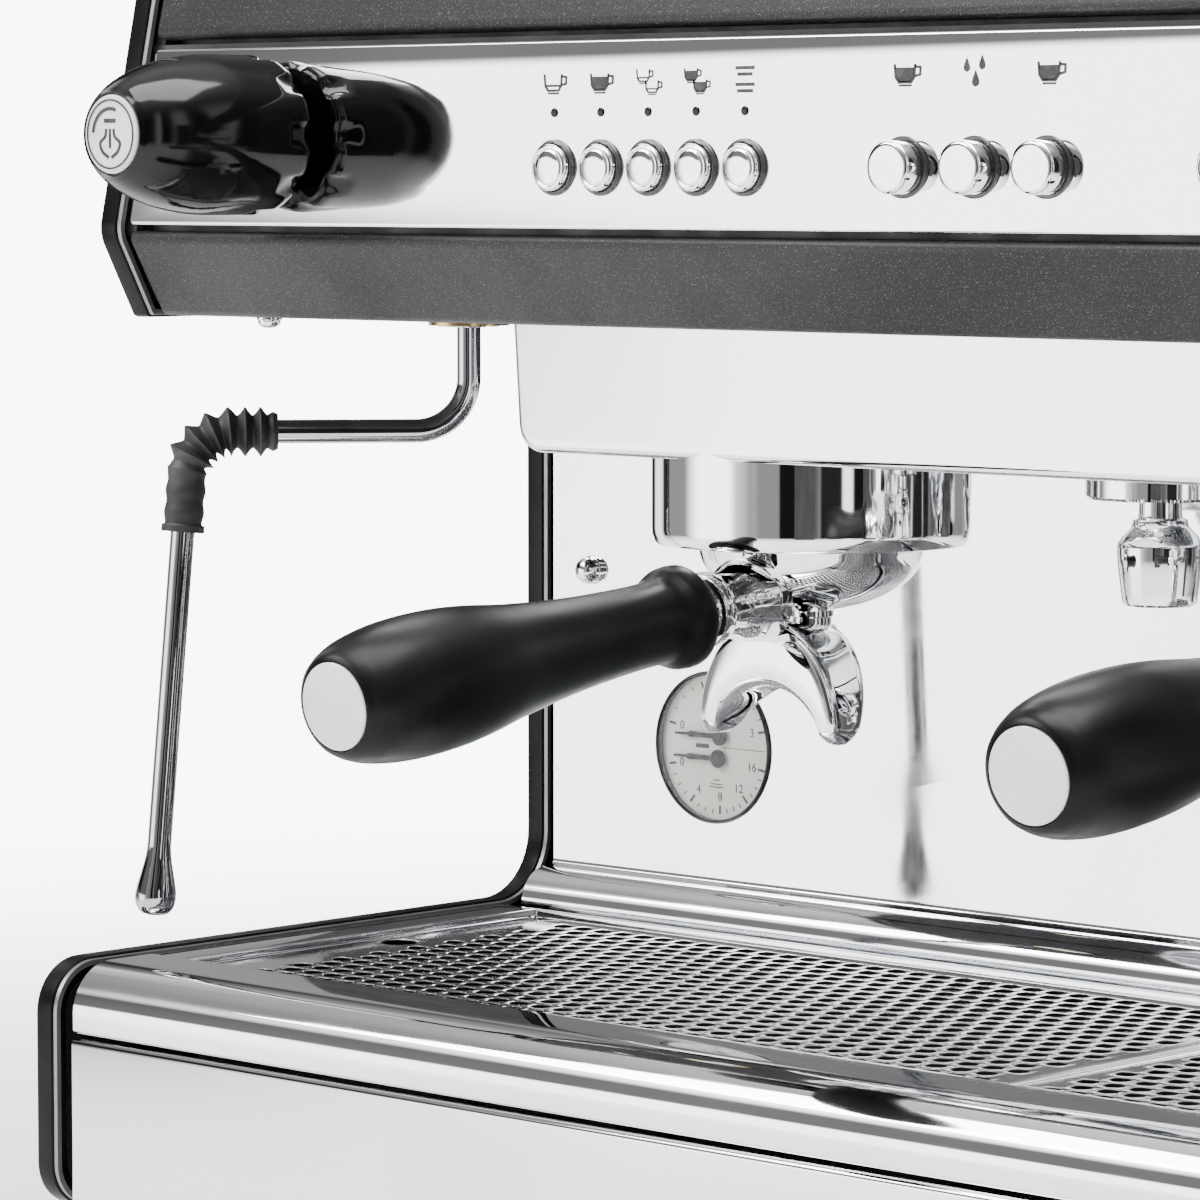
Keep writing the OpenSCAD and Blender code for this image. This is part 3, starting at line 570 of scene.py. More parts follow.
def perforated(x0, x1, y0, y1, top):
    """Top sheet of one grille half: staggered round holes, a plain margin, a finger hole and a turned-down rim."""
    pitch_x, pitch_y, hole = 9.2, 8.6, 3.3
    columns, count = 33, 17
    left = x0 + 7.5
    right = left + columns * pitch_x
    low = (y0 + y1) / 2 - count * pitch_y / 2
    bm = bmesh.new()
    corner = 1.6

    def vert(x, y):
        return bm.verts.new((x * MM, y * MM, top * MM))

    def ring_cell(cx, cy, w, h, nx, ny, r):
        """A rectangle with a round hole, its sides split into nx and ny parts."""
        edge = [(cx + w * (k / nx - 0.5), cy - h / 2) for k in range(nx)]
        edge += [(cx + w / 2, cy + h * (k / ny - 0.5)) for k in range(ny)]
        edge += [(cx + w * (0.5 - k / nx), cy + h / 2) for k in range(nx)]
        edge += [(cx - w / 2, cy + h * (0.5 - k / ny)) for k in range(ny)]
        n = len(edge)
        outer = [vert(*p) for p in edge]
        start = atan2(-h, -w)
        inner = [vert(cx + r * cos(start + 2 * pi * k / n), cy + r * sin(start + 2 * pi * k / n))
                for k in range(n)]
        for k in range(n):
            bm.faces.new([outer[k], outer[(k + 1) % n], inner[(k + 1) % n], inner[k]])

    def patch(xs, ys):
        grid = [[vert(x, y) for x in xs] for y in ys]
        for a, b in zip(grid, grid[1:]):
            for i in range(len(xs) - 1):
                bm.faces.new([a[i], a[i + 1], b[i + 1], b[i]])

    def split(a, b, n):
        return [a + (b - a) * k / n for k in range(n + 1)]

    rows = [low + j * pitch_y for j in range(count + 1)]
    for j in range(count):
        odd = j % 2
        for i in range(columns - odd):
            cx = left + odd * pitch_x / 2 + (i + 0.5) * pitch_x
            ring_cell(cx, rows[j] + pitch_y / 2, pitch_x, pitch_y, 4, 4, hole)
        if odd:
            for a in (left, right - pitch_x / 2):
                patch(split(a, a + pitch_x / 2, 2), split(rows[j], rows[j + 1], 4))
    xs = [left + k * pitch_x / 4 for k in range(columns * 4 + 1)]
    edge_x0, edge_x1, edge_y0, edge_y1 = x0 + corner, x1 - corner, y0 + corner, y1 - corner
    far = [right + 2, right + 15, edge_x1]
    finger = 8  # rows beside the finger hole: its cell takes two
    all_y = split(rows[0], rows[-1], count * 4)
    for a, b in ((edge_x0, left), (right, far[0]), (far[1], far[2])):
        patch([a, b], all_y)
    patch([far[0], far[1]], all_y[:finger * 4 + 1])
    patch([far[0], far[1]], all_y[(finger + 2) * 4:])
    ring_cell((far[0] + far[1]) / 2, rows[finger + 1], far[1] - far[0], 2 * pitch_y, 1, 8, 6.2)
    all_x = [edge_x0, *xs, *far]
    patch(all_x, [edge_y0, rows[0]])
    patch(all_x, [rows[-1], edge_y1])
    bmesh.ops.remove_doubles(bm, verts=bm.verts, dist=0.01 * MM)
    rim = [e for e in bm.edges if len(e.link_faces) == 1 and all(min(abs(v.co.x / MM - edge_x0),
            abs(v.co.x / MM - edge_x1), abs(v.co.y / MM - edge_y0), abs(v.co.y / MM - edge_y1)) < 0.05
            for v in e.verts)]
    mid = Vector(((edge_x0 + edge_x1) / 2, (edge_y0 + edge_y1) / 2)) * MM
    size = Vector(((edge_x1 - edge_x0) / 2, (edge_y1 - edge_y0) / 2)) * MM
    previous = 0.0
    for angle, drop in ((30, 0), (60, 0), (90, 0), (90, 3.9)):
        out = corner * sin(radians(angle))
        down = corner * (1 - cos(radians(angle))) + drop
        made = bmesh.ops.extrude_edge_only(bm, edges=rim)["geom"]
        rim = [g for g in made if isinstance(g, bmesh.types.BMEdge)
               and len(g.link_faces) == 1 and all(v in made for v in g.verts)]
        for v in {v for e in rim for v in e.verts}:
            for axis, half in ((0, size.x), (1, size.y)):
                offset = v.co[axis] - mid[axis]
                if abs(offset) > half - 0.05 * MM + previous * MM:
                    v.co[axis] = mid[axis] + math.copysign(half + out * MM, offset)
            v.co.z = (top - down) * MM
        previous = out - 1e-3
    return bm


def build_grilles():
    for name, s in (("left", -1), ("right", 1)):
        bm = perforated(GRILLE_LO.x, GRILLE_HI.x, GRILLE_LO.y, GRILLE_HI.y, GRILLE_HI.z)
        if s < 0:
            bmesh.ops.scale(bm, vec=(-1, 1, 1), verts=bm.verts)
        bmesh.ops.recalc_face_normals(bm, faces=bm.faces)
        if sum(f.normal.z * f.calc_area() for f in bm.faces) < 0:
            bmesh.ops.reverse_faces(bm, faces=bm.faces)
        mesh = bpy.data.meshes.new("grille_" + name + "_plate")
        bm.to_mesh(mesh)
        bm.free()
        mesh.shade_smooth()
        mesh.materials.append(MAT["grille"])
        mesh.materials.append(MAT["basin"])
        obj = bpy.data.objects.new("grille_" + name + "_plate", mesh)
        scene.collection.objects.link(obj)
        thick = obj.modifiers.new("thickness", "SOLIDIFY")
        thick.thickness, thick.offset = 0.5 * MM, -1
        thick.material_offset = thick.material_offset_rim = 1  # painted shade: underside and hole walls take the near-black basin look
        mesh.set_sharp_from_angle(angle=radians(40))
        tie(obj, "grille_" + name[0], "grille_" + name)


def build_backsplash():
    lo, hi = span("backsplash")
    sheet = 1.5
    ledge = (-4, 130.5)
    outline = [(sheet, hi.z), (0, hi.z), (0, 145), *curve([(0, 144.2), (-0.9, 142.9), (-2.6, 142.5)], 4)[1:],
            *arc(*ledge, 12, 92, 180, 24), (-16, 112), (-14.5, 112), *arc(*ledge, 10.5, 180, 92, 20),
            *curve([(-2.6, 141.0), (0.3, 141.6), (sheet, 143.6)], 4)[1:]]
    wall = piece("backsplash_sheet", [prism(outline, lo.x, hi.x, "x")], "steel_polished", "backsplash")
    gauge = centre("gauge_case")
    slots = [block(c.x - 30, c.x + 30, -5, 5, 303, 345, 0) for c in GROUPS] if hi.z > UNDER_Z - 5 else []
    cut(wall, [rod(25.4, -5, 5, (gauge.x, 0, gauge.z), (0, 1, 0)), *slots])


def dome(r, height):
    """Profile of a domed screw head on a thin washer, along +Z."""
    foot = height * 0.42
    return [(0, 0), (r, 0), (r, 0.5), (r - 0.3, 0.8), (r * 0.9, 0.85), (r * 0.9, foot),
            *[(r * 0.88 * cos(a), foot + 0.15 + (height - foot - 0.15) * sin(a))
            for a in [pi / 2 * k / 8 for k in range(8)]], (0, height)]


def build_screws():
    parts = [lathe(dome(5, 6), (x, 0, SCREW_Z), (0, -1, 0), 48) for x in (-SCREW_X, SCREW_X)]
    parts += [lathe(dome(4, 3.4), (x, -171, UNDER_Z + 0.6), (0, 0, -1), 40) for x in (-306, 306)]
    back = span("rear_panel")[1].y
    parts += [lathe(dome(4, 3.4), (x, back, z), (0, 1, 0), 40) for x in (-300, -100, 100, 300)
            for z in (BASE_Z + 20, TOP - 30)]
    piece("dome_screws", parts, "chrome", "fasteners")


def build_feet():
    pads, stems = [], []
    ridges = [(14 - (0.7 if k % 2 else 0), 33 + k) for k in range(18)]
    for x in (-290, 290):
        for y in (-170, REAR - 60):
            pads.append(lathe([(0, 1), (15, 1), (15, 0), (20.6, 0), (21.4, 0.8), (23, 4), (22.6, 8), (21, 20),
                    (19.4, 31), (18.4, 32), (0, 32)], (x, y, 0), n=64))
            stems.append(lathe([(0, 32), (14, 32), *ridges, (14, BASE_Z + 1.9), (0, BASE_Z + 1.9)], (x, y, 0),
                    n=48))
    piece("feet_pads", pads, "rubber_black", "feet")
    piece("feet_stems", stems, "chrome")


def build_rail():
    lo, hi = span("cup_rail")
    x, z, y0, y1 = hi.x - 3, hi.z - 3.03, lo.y + 3, hi.y - 3.03
    path = round_path([(-x, y0, lo.z), (-x, y0, z), (-x, y1, z), (x, y1, z), (x, y0, z), (x, y0, lo.z)],
            [0, 16, 16, 16, 16, 0], 2.0)
    collars = [lathe([(3.05, 0), (6.5, 0), (6.5, 2.2), (5.6, 3), (3.05, 3), (3.05, 0)], (s * x, y0, TOP - 12),
            n=40) for s in (-1, 1)]
    piece("cup_rail_tube", [tube(path, 3.0), *collars], "chrome", "cup_rail")
    posts = [rod(3, lo.z + 0.5, z - 2.4, (s * x, 100, 0), n=24) for s in (-1, 1)]
    piece("cup_rail_posts", posts, "chrome")


# ---------- groups ----------
def build_groups():
    lo, hi = span("group_bells")
    bell_r = (hi.y - lo.y) / 2
    z0, z1 = lo.z, hi.z
    profile = [(36, z0 + 1.2), (36.6, z0 + 0.3), (37.6, z0), (45.6, z0), (46.6, z0 + 0.3), (47.2, z0 + 1.1),
            (bell_r - 0.5, z0 + 2.2), (bell_r - 0.1, z0 + 3.2), (bell_r, z0 + 5), (bell_r, z1 - 0.5),
            (bell_r - 0.5, z1), (30.2, z1), (30.2, 299), (36, 299), (36, z0 + 1.2)]
    bells = [lathe(profile, (c.x, c.y, 0), n=128) for c in GROUPS]
    piece("group_bells_turned", bells, "chrome", "group_bells")
    outlet = centre("hot_water_outlet")
    flange = [(4, 289), (20.6, 289), (21.5, 289.9), (21.5, 295.4), (20.9, 296), (6, 296), (6, 330), (4, 330),
            (4, 289)]
    nozzle = [(4, 258.5), (9.6, 258.5), (10.6, 259.2), (10.9, 260.4),
            *curve([(11.1, 262), (12.2, 271), (12.3, 275.5)], 6), (12.0, 276.6), (11.2, 277.6),
            *curve([(10.9, 278.2), (8.6, 280.6), (8.0, 281.8)], 5), (7.9, 283), (6.4, 283.6), (6.2, 285),
            (6.2, 289.4), (4, 289.4), (4, 258.5)]
    piece("hot_water_nozzle", [lathe(flange, (outlet.x, outlet.y, 0)), lathe(nozzle, (outlet.x, outlet.y, 0))],
            "chrome", "hot_water_outlet")
    for name in SIDES:
        build_portafilter(name)


def spout_part(x, y):
    """The double spout: a broad saddle with a flat front face, narrowing to two blunt lips."""
    loops = []
    n, section = 60, 24
    for i in range(n + 1):
        a = radians(-6 + 192 * i / n)
        t = abs(i / n * 2 - 1)
        outer = Vector((27.0 * cos(a), 0, 216.5 + 31.3 * sin(a)))
        inner = Vector(((18.6 + 1.6 * t) * cos(a), 0, 215.5 + 13.4 * sin(a)))
        mid, half = (outer + inner) / 2, (outer - inner) / 2
        front, back = -23.0 + 2.5 * t ** 2, 7.4 - 17.0 * t ** 1.3
        depth, middle = (back - front) / 2, (back + front) / 2
        squeeze = 1 - 0.5 * max(0, (t - 0.88) / 0.12) ** 2
        loop = []
        for k in range(section):
            b = 2 * pi * k / section
            cb, sb = cos(b), sin(b)
            u = math.copysign(abs(cb) ** 0.42, cb) * squeeze
            v = math.copysign(abs(sb) ** 0.42, sb) * squeeze
            lift = 3.4 * max(0, -v) * max(0, u) * (1 - t * t)
            loop.append(Vector((x, y + middle, 0)) + mid + half * u + Vector((0, depth * v, lift)))
        loops.append(loop)
    return rings(loops)


def build_portafilter(name):
    c = centre("filter_basket_" + name)
    body = "portafilter_" + name + "_set"
    lip = 288
    bowl = [(0, 250.6), *curve([(5, 250.8), (9, 251.6), (16, 253.4), (23, 256.2), (28.8, 260.2), (32.6, 265),
            (34.3, 270.5)], 6), (34.5, 272), (34.5, lip - 0.6), (33.9, lip), (30.6, lip), (30.3, lip - 0.5),
            (30.3, 271), (29.6, 271), (29.6, 261), (0, 261)]
    parts = [lathe(bowl, (c.x, c.y, 0), n=112)]
    for s in (-1, 1):
        wing = arc(0, 0, 33.8, -19, 19, 8) + arc(0, 0, 35.7, 18, -18, 8)
        parts.append(prism([(c.x + s * px, c.y + py) for px, py in wing], 281.2, 286.8, "z"))
    root = Vector((c.x, c.y - HANDLE_ROOT[0], HANDLE_ROOT[1]))
    along = Vector((0, -cos(HANDLE_TILT), -sin(HANDLE_TILT)))
    neck = [(0, -6), (13.6, -6), *curve([(13.4, -2), (12.0, 3), (10.4, 8), (9.6, 13)], 6), (9.6, 15),
            (10.9, 15.6), (11.2, 16.6), (11.2, 19.4), (10.9, 20.4), (9.7, 21), (9.7, 24), (10.6, 24.4),
            (10.6, 26.8), (0, 26.8)]
    parts.append(lathe(neck, root, along, 64))
    stem = [(0, 253), (6.6, 253), (6.6, 249.4), (6.0, 249), (6.0, 247), (7.2, 246.6), (7.6, 246), (7.6, 242.4),
            (7.2, 241.8), (0, 241.8)]
    parts.append(lathe(stem, (c.x, c.y, 0), n=48))
    piece("portafilter_" + name + "_bowl", parts, "chrome", "portafilter_" + name, body, sharp=38)
    piece("spout_" + name, [spout_part(c.x, c.y)], "chrome", None, body, sharp=60)
    build_handle(name, root, along, body)


def build_handle(name, root, along, body):
    reach = 199 - 30.2  # its end, measured from the root
    grip = [(0, 26.9), (12.6, 26.9), (14.4, 27.3), (15.2, 28.4), (15.3, 30), (15.1, 32.6), (14.3, 34.6),
            *curve([(13.2, 36.6), (12.4, 39.5), (12.2, 45), (12.5, 56), (13.3, 71), (14.6, 86), (16.4, 101),
            (18.3, 113), (19.5, 123.5), (19.95, 133), (19.9, 142), (19.2, 151), (17.7, 159.5), (15.9, 164.8)],
            6), (14.6, 167.2), (13.6, reach - 0.6), (12.7, reach - 0.2), (12.5, reach - 0.9),
            (12.4, reach - 1.2), (0, reach - 1.2)]
    piece("handle_" + name + "_grip", [lathe(grip, root, along, 96)], "handle_black", "handle_" + name, body,
            sharp=40)
    disc = [(0, reach - 1.1), (12.3, reach - 1.1), (12.3, reach - 0.2), (12.0, reach + 0.1), (11.4, reach + 0.2),
            (6, reach + 0.45), (0, reach + 0.55)]
    piece("handle_" + name + "_disc", [lathe(disc, root, along, 72)], "cap_white", None, body)


# ---------- steam side ----------
def knob_flutes(angle, height):
    """Finger grooves round the rear of the knob, running out towards the front."""
    if not 5.3 < height < 15.5:
        return 0.0
    fade = min(1.0, (15.5 - height) / 7.5)
    return -2.3 * fade * max(0.0, cos(9 * angle)) ** 0.6


def build_knobs():
    for name in SIDES:
        node, body = "steam_knob_" + name, "knob_" + name
        lo, hi = span(node)
        c, r = (lo + hi) / 2, (hi.x - lo.x) / 2
        tip = PANEL_Y - lo.y
        profile = [(0, -33.8), (6, -33.8), (6, -0.4), (12.7, -0.4), (12.7, 5.1), (r - 3, 5.2), (r - 1.6, 5.5),
                (r - 0.6, 6.4), (r - 0.1, 8), *[(r, h) for h in range(9, 27)],
                *curve([(r, 28), (r - 0.25, 34), (r - 1.0, 40), (r - 2.5, 47.5), (r - 4.6, 54), (r - 7.2, 59.8),
                (r - 9.8, 63.8), (r - 11.2, 65.4)], 6), (r - 11.7, 66.0), (r - 12.2, 65.8), (r - 12.4, 65.2),
                (0, 65.2)]
        origin = (c.x, PANEL_Y, c.z)
        piece(node + "_grip", [lathe(profile, origin, (0, -1, 0), 120, knob_flutes)], "knob_black", node, body,
                sharp=50)
        disc = [(0, 65.3), (r - 12.6, 65.3), (r - 12.6, 65.9), (r - 13.0, 66.3), (r - 14, 66.5), (0, tip - 0.35)]
        piece(node + "_disc", [lathe(disc, origin, (0, -1, 0), 72)], "cap_white", None, body)
        symbol = steam_symbol(c.x, c.z, PANEL_Y - tip + 0.28)
        piece(node + "_symbol", symbol, "ink", None, body)


def stroke(points, width, y, closed=False, height=0.12):
    """A line of even width drawn on a plane facing the front, as a thin raised ribbon."""
    p = [Vector(q) for q in points]
    n = len(p)
    left, right = [], []
    for i in range(n):
        a = p[i - 1] if (i or closed) else p[0] * 2 - p[1]
        b = p[(i + 1) % n] if (i < n - 1 or closed) else p[-1] * 2 - p[-2]
        t1, t2 = (p[i] - a).normalized(), (b - p[i]).normalized()
        n1, n2 = Vector((-t1.y, t1.x)), Vector((-t2.y, t2.x))
        m = (n1 + n2) * (width / 2) / max(0.35, 1 + n1.dot(n2))
        left.append(p[i] + m)
        right.append(p[i] - m)
    loops = [[(l.x, y + height, l.y), (l.x, y, l.y), (r.x, y, r.y), (r.x, y + height, r.y)]
            for l, r in zip(left, right)]
    return rings([*loops, loops[0]], cap=False) if closed else rings(loops)


def filled(points, y, height=0.12):
    return prism(list(points), y, y + height, "y")


def steam_symbol(x, z, y):
    """Generic steam sign: a ring, a bar, and a fan of jets."""
    parts = [stroke([(x + a, z + b) for a, b in arc(0, 0, 10.2, 0, 360, 48)[:-1]], 0.55, y, True),
            stroke([(x + a, z + b) for a, b in arc(0, 0, 7.6, 70, 176, 16)], 1.1, y),
            stroke([(x - 2.6, z + 4.0), (x + 2.6, z + 4.0)], 1.3, y),
            stroke([(x, z + 1.6), (x, z - 4.2)], 1.0, y)]
    jet = curve([(1.6, 1.6), (2.2, -0.8), (4.4, -2.6), (3.4, -5.2), (0.6, -7.0)], 4)
    return parts + [stroke([(x + s * a, z + b) for a, b in jet], 1.0, y) for s in (-1, 1)]


def bellows(run, length):
    """Radius of the rubber sleeve at a distance along it: a lip, sharp folds, then a ribbed tail."""
    if run < 3.0:
        return 6.4 - 0.5 * abs(run - 1.5)
    fold_end = length - 22
    if run < fold_end:
        phase = (run - 3.0) / (fold_end - 3.0) * 6 % 1
        return 5.2 + 3.0 * (1 - abs(2 * phase - 1)) ** 1.3
    tail = run - fold_end
    if tail < 2.0:
        return 5.2 + tail * 0.5
    if length - run < 2.4:
        return 6.9
    return 6.2 + 0.25 * sin(tail * 0.9)


def build_wands():
    for name, s in (("left", 1), ("right", -1)):
        pivot = joint_at("wand_left_swing")
        points = [Vector(p) for p in (pivot, (pivot.x, pivot.y, 299), (-338, -176, 299), (-340.4, -188.2, 166))]
        body = "wand_" + name + "_arm"
        path = round_path(points, [0, 17, 15, 0], 1.2)
        down = (points[3] - points[2]).normalized()
        parts = [tube(path, TUBE_R, 32), lathe([(0, -7), *arc(0, 0, 7, -80, 80, 8), (0, 7)], pivot, n=48)]
        tip = [(0, -0.5), (TUBE_R + 0.02, -0.5), *curve([(TUBE_R + 0.1, 0.5), (4.4, 4), (5.5, 9), (6.4, 13.4),
                (6.55, 16), (5.9, 18.8), (4.2, 20.7), (1.8, 21.4)], 6), (0, 21.5)]
        parts.append(lathe(tip, points[3], down, 48))
        metal = parts if s > 0 else mirrored(parts)
        piece("wand_" + name + "_tube", metal, "tubing", "wand_" + name, body, 40)
        flat = (points[2] - points[1]).normalized()
        sleeve = round_path([points[2] - flat * 28, points[2], points[2] + down * 32], [0, 15, 0], 0.35)
        length = sum((b - a).length for a, b in zip(sleeve, sleeve[1:]))
        shape = [tube(sleeve, lambda run: bellows(run, length), 40)]
        shape = shape if s > 0 else mirrored(shape)
        piece("wand_" + name + "_bellows", shape, "rubber_black", "wand_sleeve_" + name, body, sharp=75)
        collar = lathe([(4.2, -0.6), (9.5, -0.6), (10.6, 0.2), (11, 1.4), (11, 3.6), (4.2, 3.6), (4.2, -0.6)],
                (-s * abs(pivot.x), pivot.y, UNDER_Z - 2.5), n=64)
        piece("wand_" + name + "_collar", [collar], "chrome")


# ---------- buttons and marks ----------
def build_buttons():
    dose = [(0, -11.6), (6.85, -11.6), (6.85, 2.0), (6.7, 2.7), (6.3, 3.15), (5.8, 3.3), (5.45, 3.1),
            (5.3, 2.85), (5.1, 2.95), *curve([(4.8, 3.15), (3.4, 3.35), (1.8, 3.45), (0.4, 3.5)], 5), (0, 3.5)]
    dose_ring = [(6.95, -14.9), (7.45, -14.9), (7.45, 0.0), (8.2, 0.0), (8.25, 0.4), (8.0, 0.9), (7.5, 1.15),
            (7.1, 1.0), (6.95, 0.6), (6.95, -14.9)]
    middle = [(0, -13.6), (7.4, -13.6), (7.4, 0.9), (6.7, 1.0), (6.7, 2.5), (7.4, 2.6), (7.4, 6.3), (7.1, 7.0),
            (6.5, 7.35), *curve([(5.9, 7.4), (3, 7.52), (0.5, 7.58)], 4), (0, 7.58)]
    middle_band = [(6.75, 1.05), (7.15, 1.1), (7.15, 2.4), (6.75, 2.45), (6.75, 1.05)]
    middle_ring = [(7.5, -3), (8.6, -3), (8.6, 0.35), (8.2, 0.7), (7.5, 0.7), (7.5, -3)]
    rings_made = []
    for node in BUTTONS:
        at = (centre(node).x, PANEL_Y, centre(node).z)
        is_dose = node.startswith("dose")
        body = node.replace("dose_button", "button").replace("center_button", "button_c")
        if not is_dose:
            piece(node + "_band", [lathe(middle_band, at, (0, -1, 0), 64)], "bezel_dark", None, body)
        cap, n, ring = (dose, 64, dose_ring) if is_dose else (middle, 72, middle_ring)
        piece(node + "_cap", [lathe(cap, at, (0, -1, 0), n)], "chrome", node, body, sharp=55)
        rings_made.append(lathe(ring, at, (0, -1, 0), 64))
    piece("button_rings", rings_made, "bezel_dark", "dose_bezels")


def cup_mark(x, z, y, full, scale=1.0):
    """A small cup sign: open outline for a short cup, filled for a full one."""
    def at(px, pz):
        return x + px * scale, z + pz * scale
    bowl = [(-4, 2.2), (-3.7, -1.2), (-2.6, -2.6), (1.6, -2.6), (2.7, -1.2), (3.0, 2.2)]
    parts = [stroke([at(*p) for p in bowl], 0.75 * scale, y), stroke([at(*p)
            for p in ((3.0, 1.5), (4.8, 1.3), (4.7, -0.6), (2.9, -1.0))], 0.75 * scale, y),
            stroke([at(-2.6, -3.4), at(1.8, -3.4)], 0.6 * scale, y)]
    level = 1.3 if full else -1.2
    fill = [(-3.8, level), (-3.4, -1.2), (-2.4, -2.5), (1.4, -2.5), (2.4, -1.2), (2.8, level)]
    if full:
        parts.append(filled([at(*p) for p in fill], y))
    else:
        parts.append(stroke([at(-3.4, level), at(2.5, level)], 0.7 * scale, y))
    return parts


def build_marks():
    y = PANEL_Y - 0.12
    ink, lights = [], []
    for s in "lr":
        for i in range(1, 6):
            c = centre("dose_button_%s%d" % (s, i))
            lights.append(lathe([(0, -0.5), (1.35, -0.5), (1.35, 0.2), (1.1, 0.5), (0, 0.65)],
                    (c.x, PANEL_Y, c.z + 16), (0, -1, 0), 24))
            z = c.z + 25
            if i in (1, 2):
                ink += cup_mark(c.x, z, y, i == 2)
            elif i in (3, 4):
                ink += cup_mark(c.x - 1.6, z + 1.6, y, i == 4, 0.72)
                ink += cup_mark(c.x + 1.9, z - 1.6, y, i == 4, 0.72)
            else:
                ink += [stroke([(c.x - w, z + h), (c.x + w, z + h)], 1.0, y)
                        for w, h in ((3.6, 3.1), (2.8, 1.3), (3.6, -1.6), (3.0, -3.4))]
    for name in SIDES:
        c = centre("center_button_" + name)
        ink += cup_mark(c.x + 1.0, c.z + 26, y, True, 1.05)
    c = centre("center_button_mid")
    for dx, dz, size in ((-2.8, 27.4, 1.3), (2.6, 28.0, 1.3), (0.3, 23.6, 1.5)):
        drop = curve([(0, 1.9), (-0.75, 0.2), (-0.8, -0.7), (0, -1.2), (0.8, -0.7), (0.75, 0.2)], 3)
        ink.append(filled([(c.x + dx + px * size, c.z + dz + pz * size) for px, pz in drop], y))
    piece("panel_marks", ink, "ink_grey")
    piece("panel_lights", lights, "led")


# ---------- gauge ----------
def words(text, x, z, y, size):
    """A short number as flat mesh, centred, facing the front."""
    font = bpy.data.curves.new("number", "FONT")
    font.body, font.size, font.align_x, font.align_y = text, size * MM, "CENTER", "CENTER"
    font.extrude = 0.03 * MM
    font.resolution_u = 3
    obj = bpy.data.objects.new("number", font)
    scene.collection.objects.link(obj)
    dg = bpy.context.evaluated_depsgraph_get()
    mesh = bpy.data.meshes.new_from_object(obj.evaluated_get(dg))
    verts = [(x + v.co.x / MM, y - v.co.z / MM, z + v.co.y / MM) for v in mesh.vertices]
    faces = [list(p.vertices) for p in mesh.polygons]
    bpy.data.objects.remove(obj)
    bpy.data.meshes.remove(mesh)
    return verts, faces


def build_gauge():
    c = centre("gauge_case")
    at = (c.x, 0, c.z)
    r = 25.8
    bezel = [(24.5, -1.6), (25.1, -1.6), (25.1, 0.02), (r, 0.02), (r, 0.6), (r - 0.25, 1.05), (r - 0.7, 1.2),
            (24.9, 1.0), (24.5, 0.4), (24.5, -1.6)]
    piece("gauge_bezel", [lathe(bezel, at, (0, -1, 0), 96)], "bezel_dark")
    can = [(0, -31.9), (6.8, -31.9), (6.8, -26), (24.4, -26), (25.1, -25.3), (25.1, -1.7), (24.4, -1.7),
            (0, -1.7)]
    piece("gauge_can", [lathe(can, at, (0, -1, 0), 72)], "dial_cream", "gauge_case")
    y = 1.62
    marks = []

    def line(x0, z0, x1, z1, width):
        marks.append(stroke([(x0, z0), (x1, z1)], width, y, height=0.06))

    upper, lower = joint_at("boiler_pointer_turn"), joint_at("pump_pointer_turn")
    for hub, sign, labels in ((upper, 1, "0123"), (lower, -1, ("0", "4", "8", "12", "16"))):
        steps = 4 * (len(labels) - 1)
        for k in range(steps + 1):
            a = radians(180 - sign * (8 + 164 * k / steps))
            main = k % 4 == 0
            d = Vector((cos(a), sin(a)))
            reach = 0.0
            while (Vector((hub.x - c.x, hub.z - c.z)) + d * reach).length < 22.6:
                reach += 0.1
            o = Vector((hub.x, hub.z))
            p0, p1 = o + d * (reach - (3.0 if main else 1.6)), o + d * reach
            line(*p0, *p1, 0.85 if main else 0.4)
            if main:
                q = o + d * (reach - 5.8)
                marks.append(words(labels[k // 4], q.x, q.y, y, 4.2))
    middle = (upper.z + lower.z) / 2
    line(c.x + 3, middle, c.x + 21.5, middle, 0.22)
    line(c.x - 3.4, middle, c.x - 9.5, middle, 1.5)
    for w, h in ((1.4, 11.2), (2.6, 12.6), (3.2, 13.6)):
        line(c.x - w, c.z - h, c.x + w, c.z - h, 0.35)
    piece("gauge_marks", marks, "ink_grey")
    for node, joint in (("gauge_pointer_boiler", upper), ("gauge_pointer_pump", lower)):
        x, z = joint.x, joint.z
        needle = [(x - 19.8, z - 0.4), (x - 14, z - 0.5), (x - 13, z - 1.1), (x - 8, z - 0.8), (x, z - 1.0),
                (x, z + 1.0), (x - 8, z + 0.8), (x - 13, z + 1.1), (x - 14, z + 0.5), (x - 19.8, z + 0.4)]
        hub = [(0, -3.4), (0.75, -3.4), (0.75, -0.6), (3.1, -0.6), (3.1, -0.1), (2.8, 0.05), (1.9, 0.05),
                (1.8, -0.15), (1.2, -0.15), (1.1, 0.08), (0, 0.1)]
        body = "pointer_boiler" if "boiler" in node else "pointer_pump"
        piece(node + "_needle", [prism(needle, 0.05, 0.5, "y"), lathe(hub, (x, 0, z), (0, -1, 0), 40)],
                "pointer_black", node, body)
    window = [(0, 0.35), (24.4, 0.35), (24.4, 0.75), (0, 0.95)]
    piece("gauge_window", [lathe(window, at, (0, -1, 0), 72)], "glass")


# ---------- what stays as CAD ----------
def dress_cad():
    """The record's slot names the material of every CAD node that still shows."""
    slots = {s["node"]: s["material_slot"] for s in frame["record"]["subparts"]}
    for name, obj in frame["nodes"].items():
        # The drip basin gets the near-black basin look: painted shade under the grilles.
        own = {"drip_basin": "basin", "cup_deck": "steel_satin"}
        material = MAT[own.get(name, slots[name])]
        obj.data.materials.clear()
        obj.data.materials.append(material)


# ---------- studio ----------
BASE_LIGHT = 0.36  # the studio walls as reflections see them
BACKDROP = 9.0  # and as the camera sees them directly: plain white
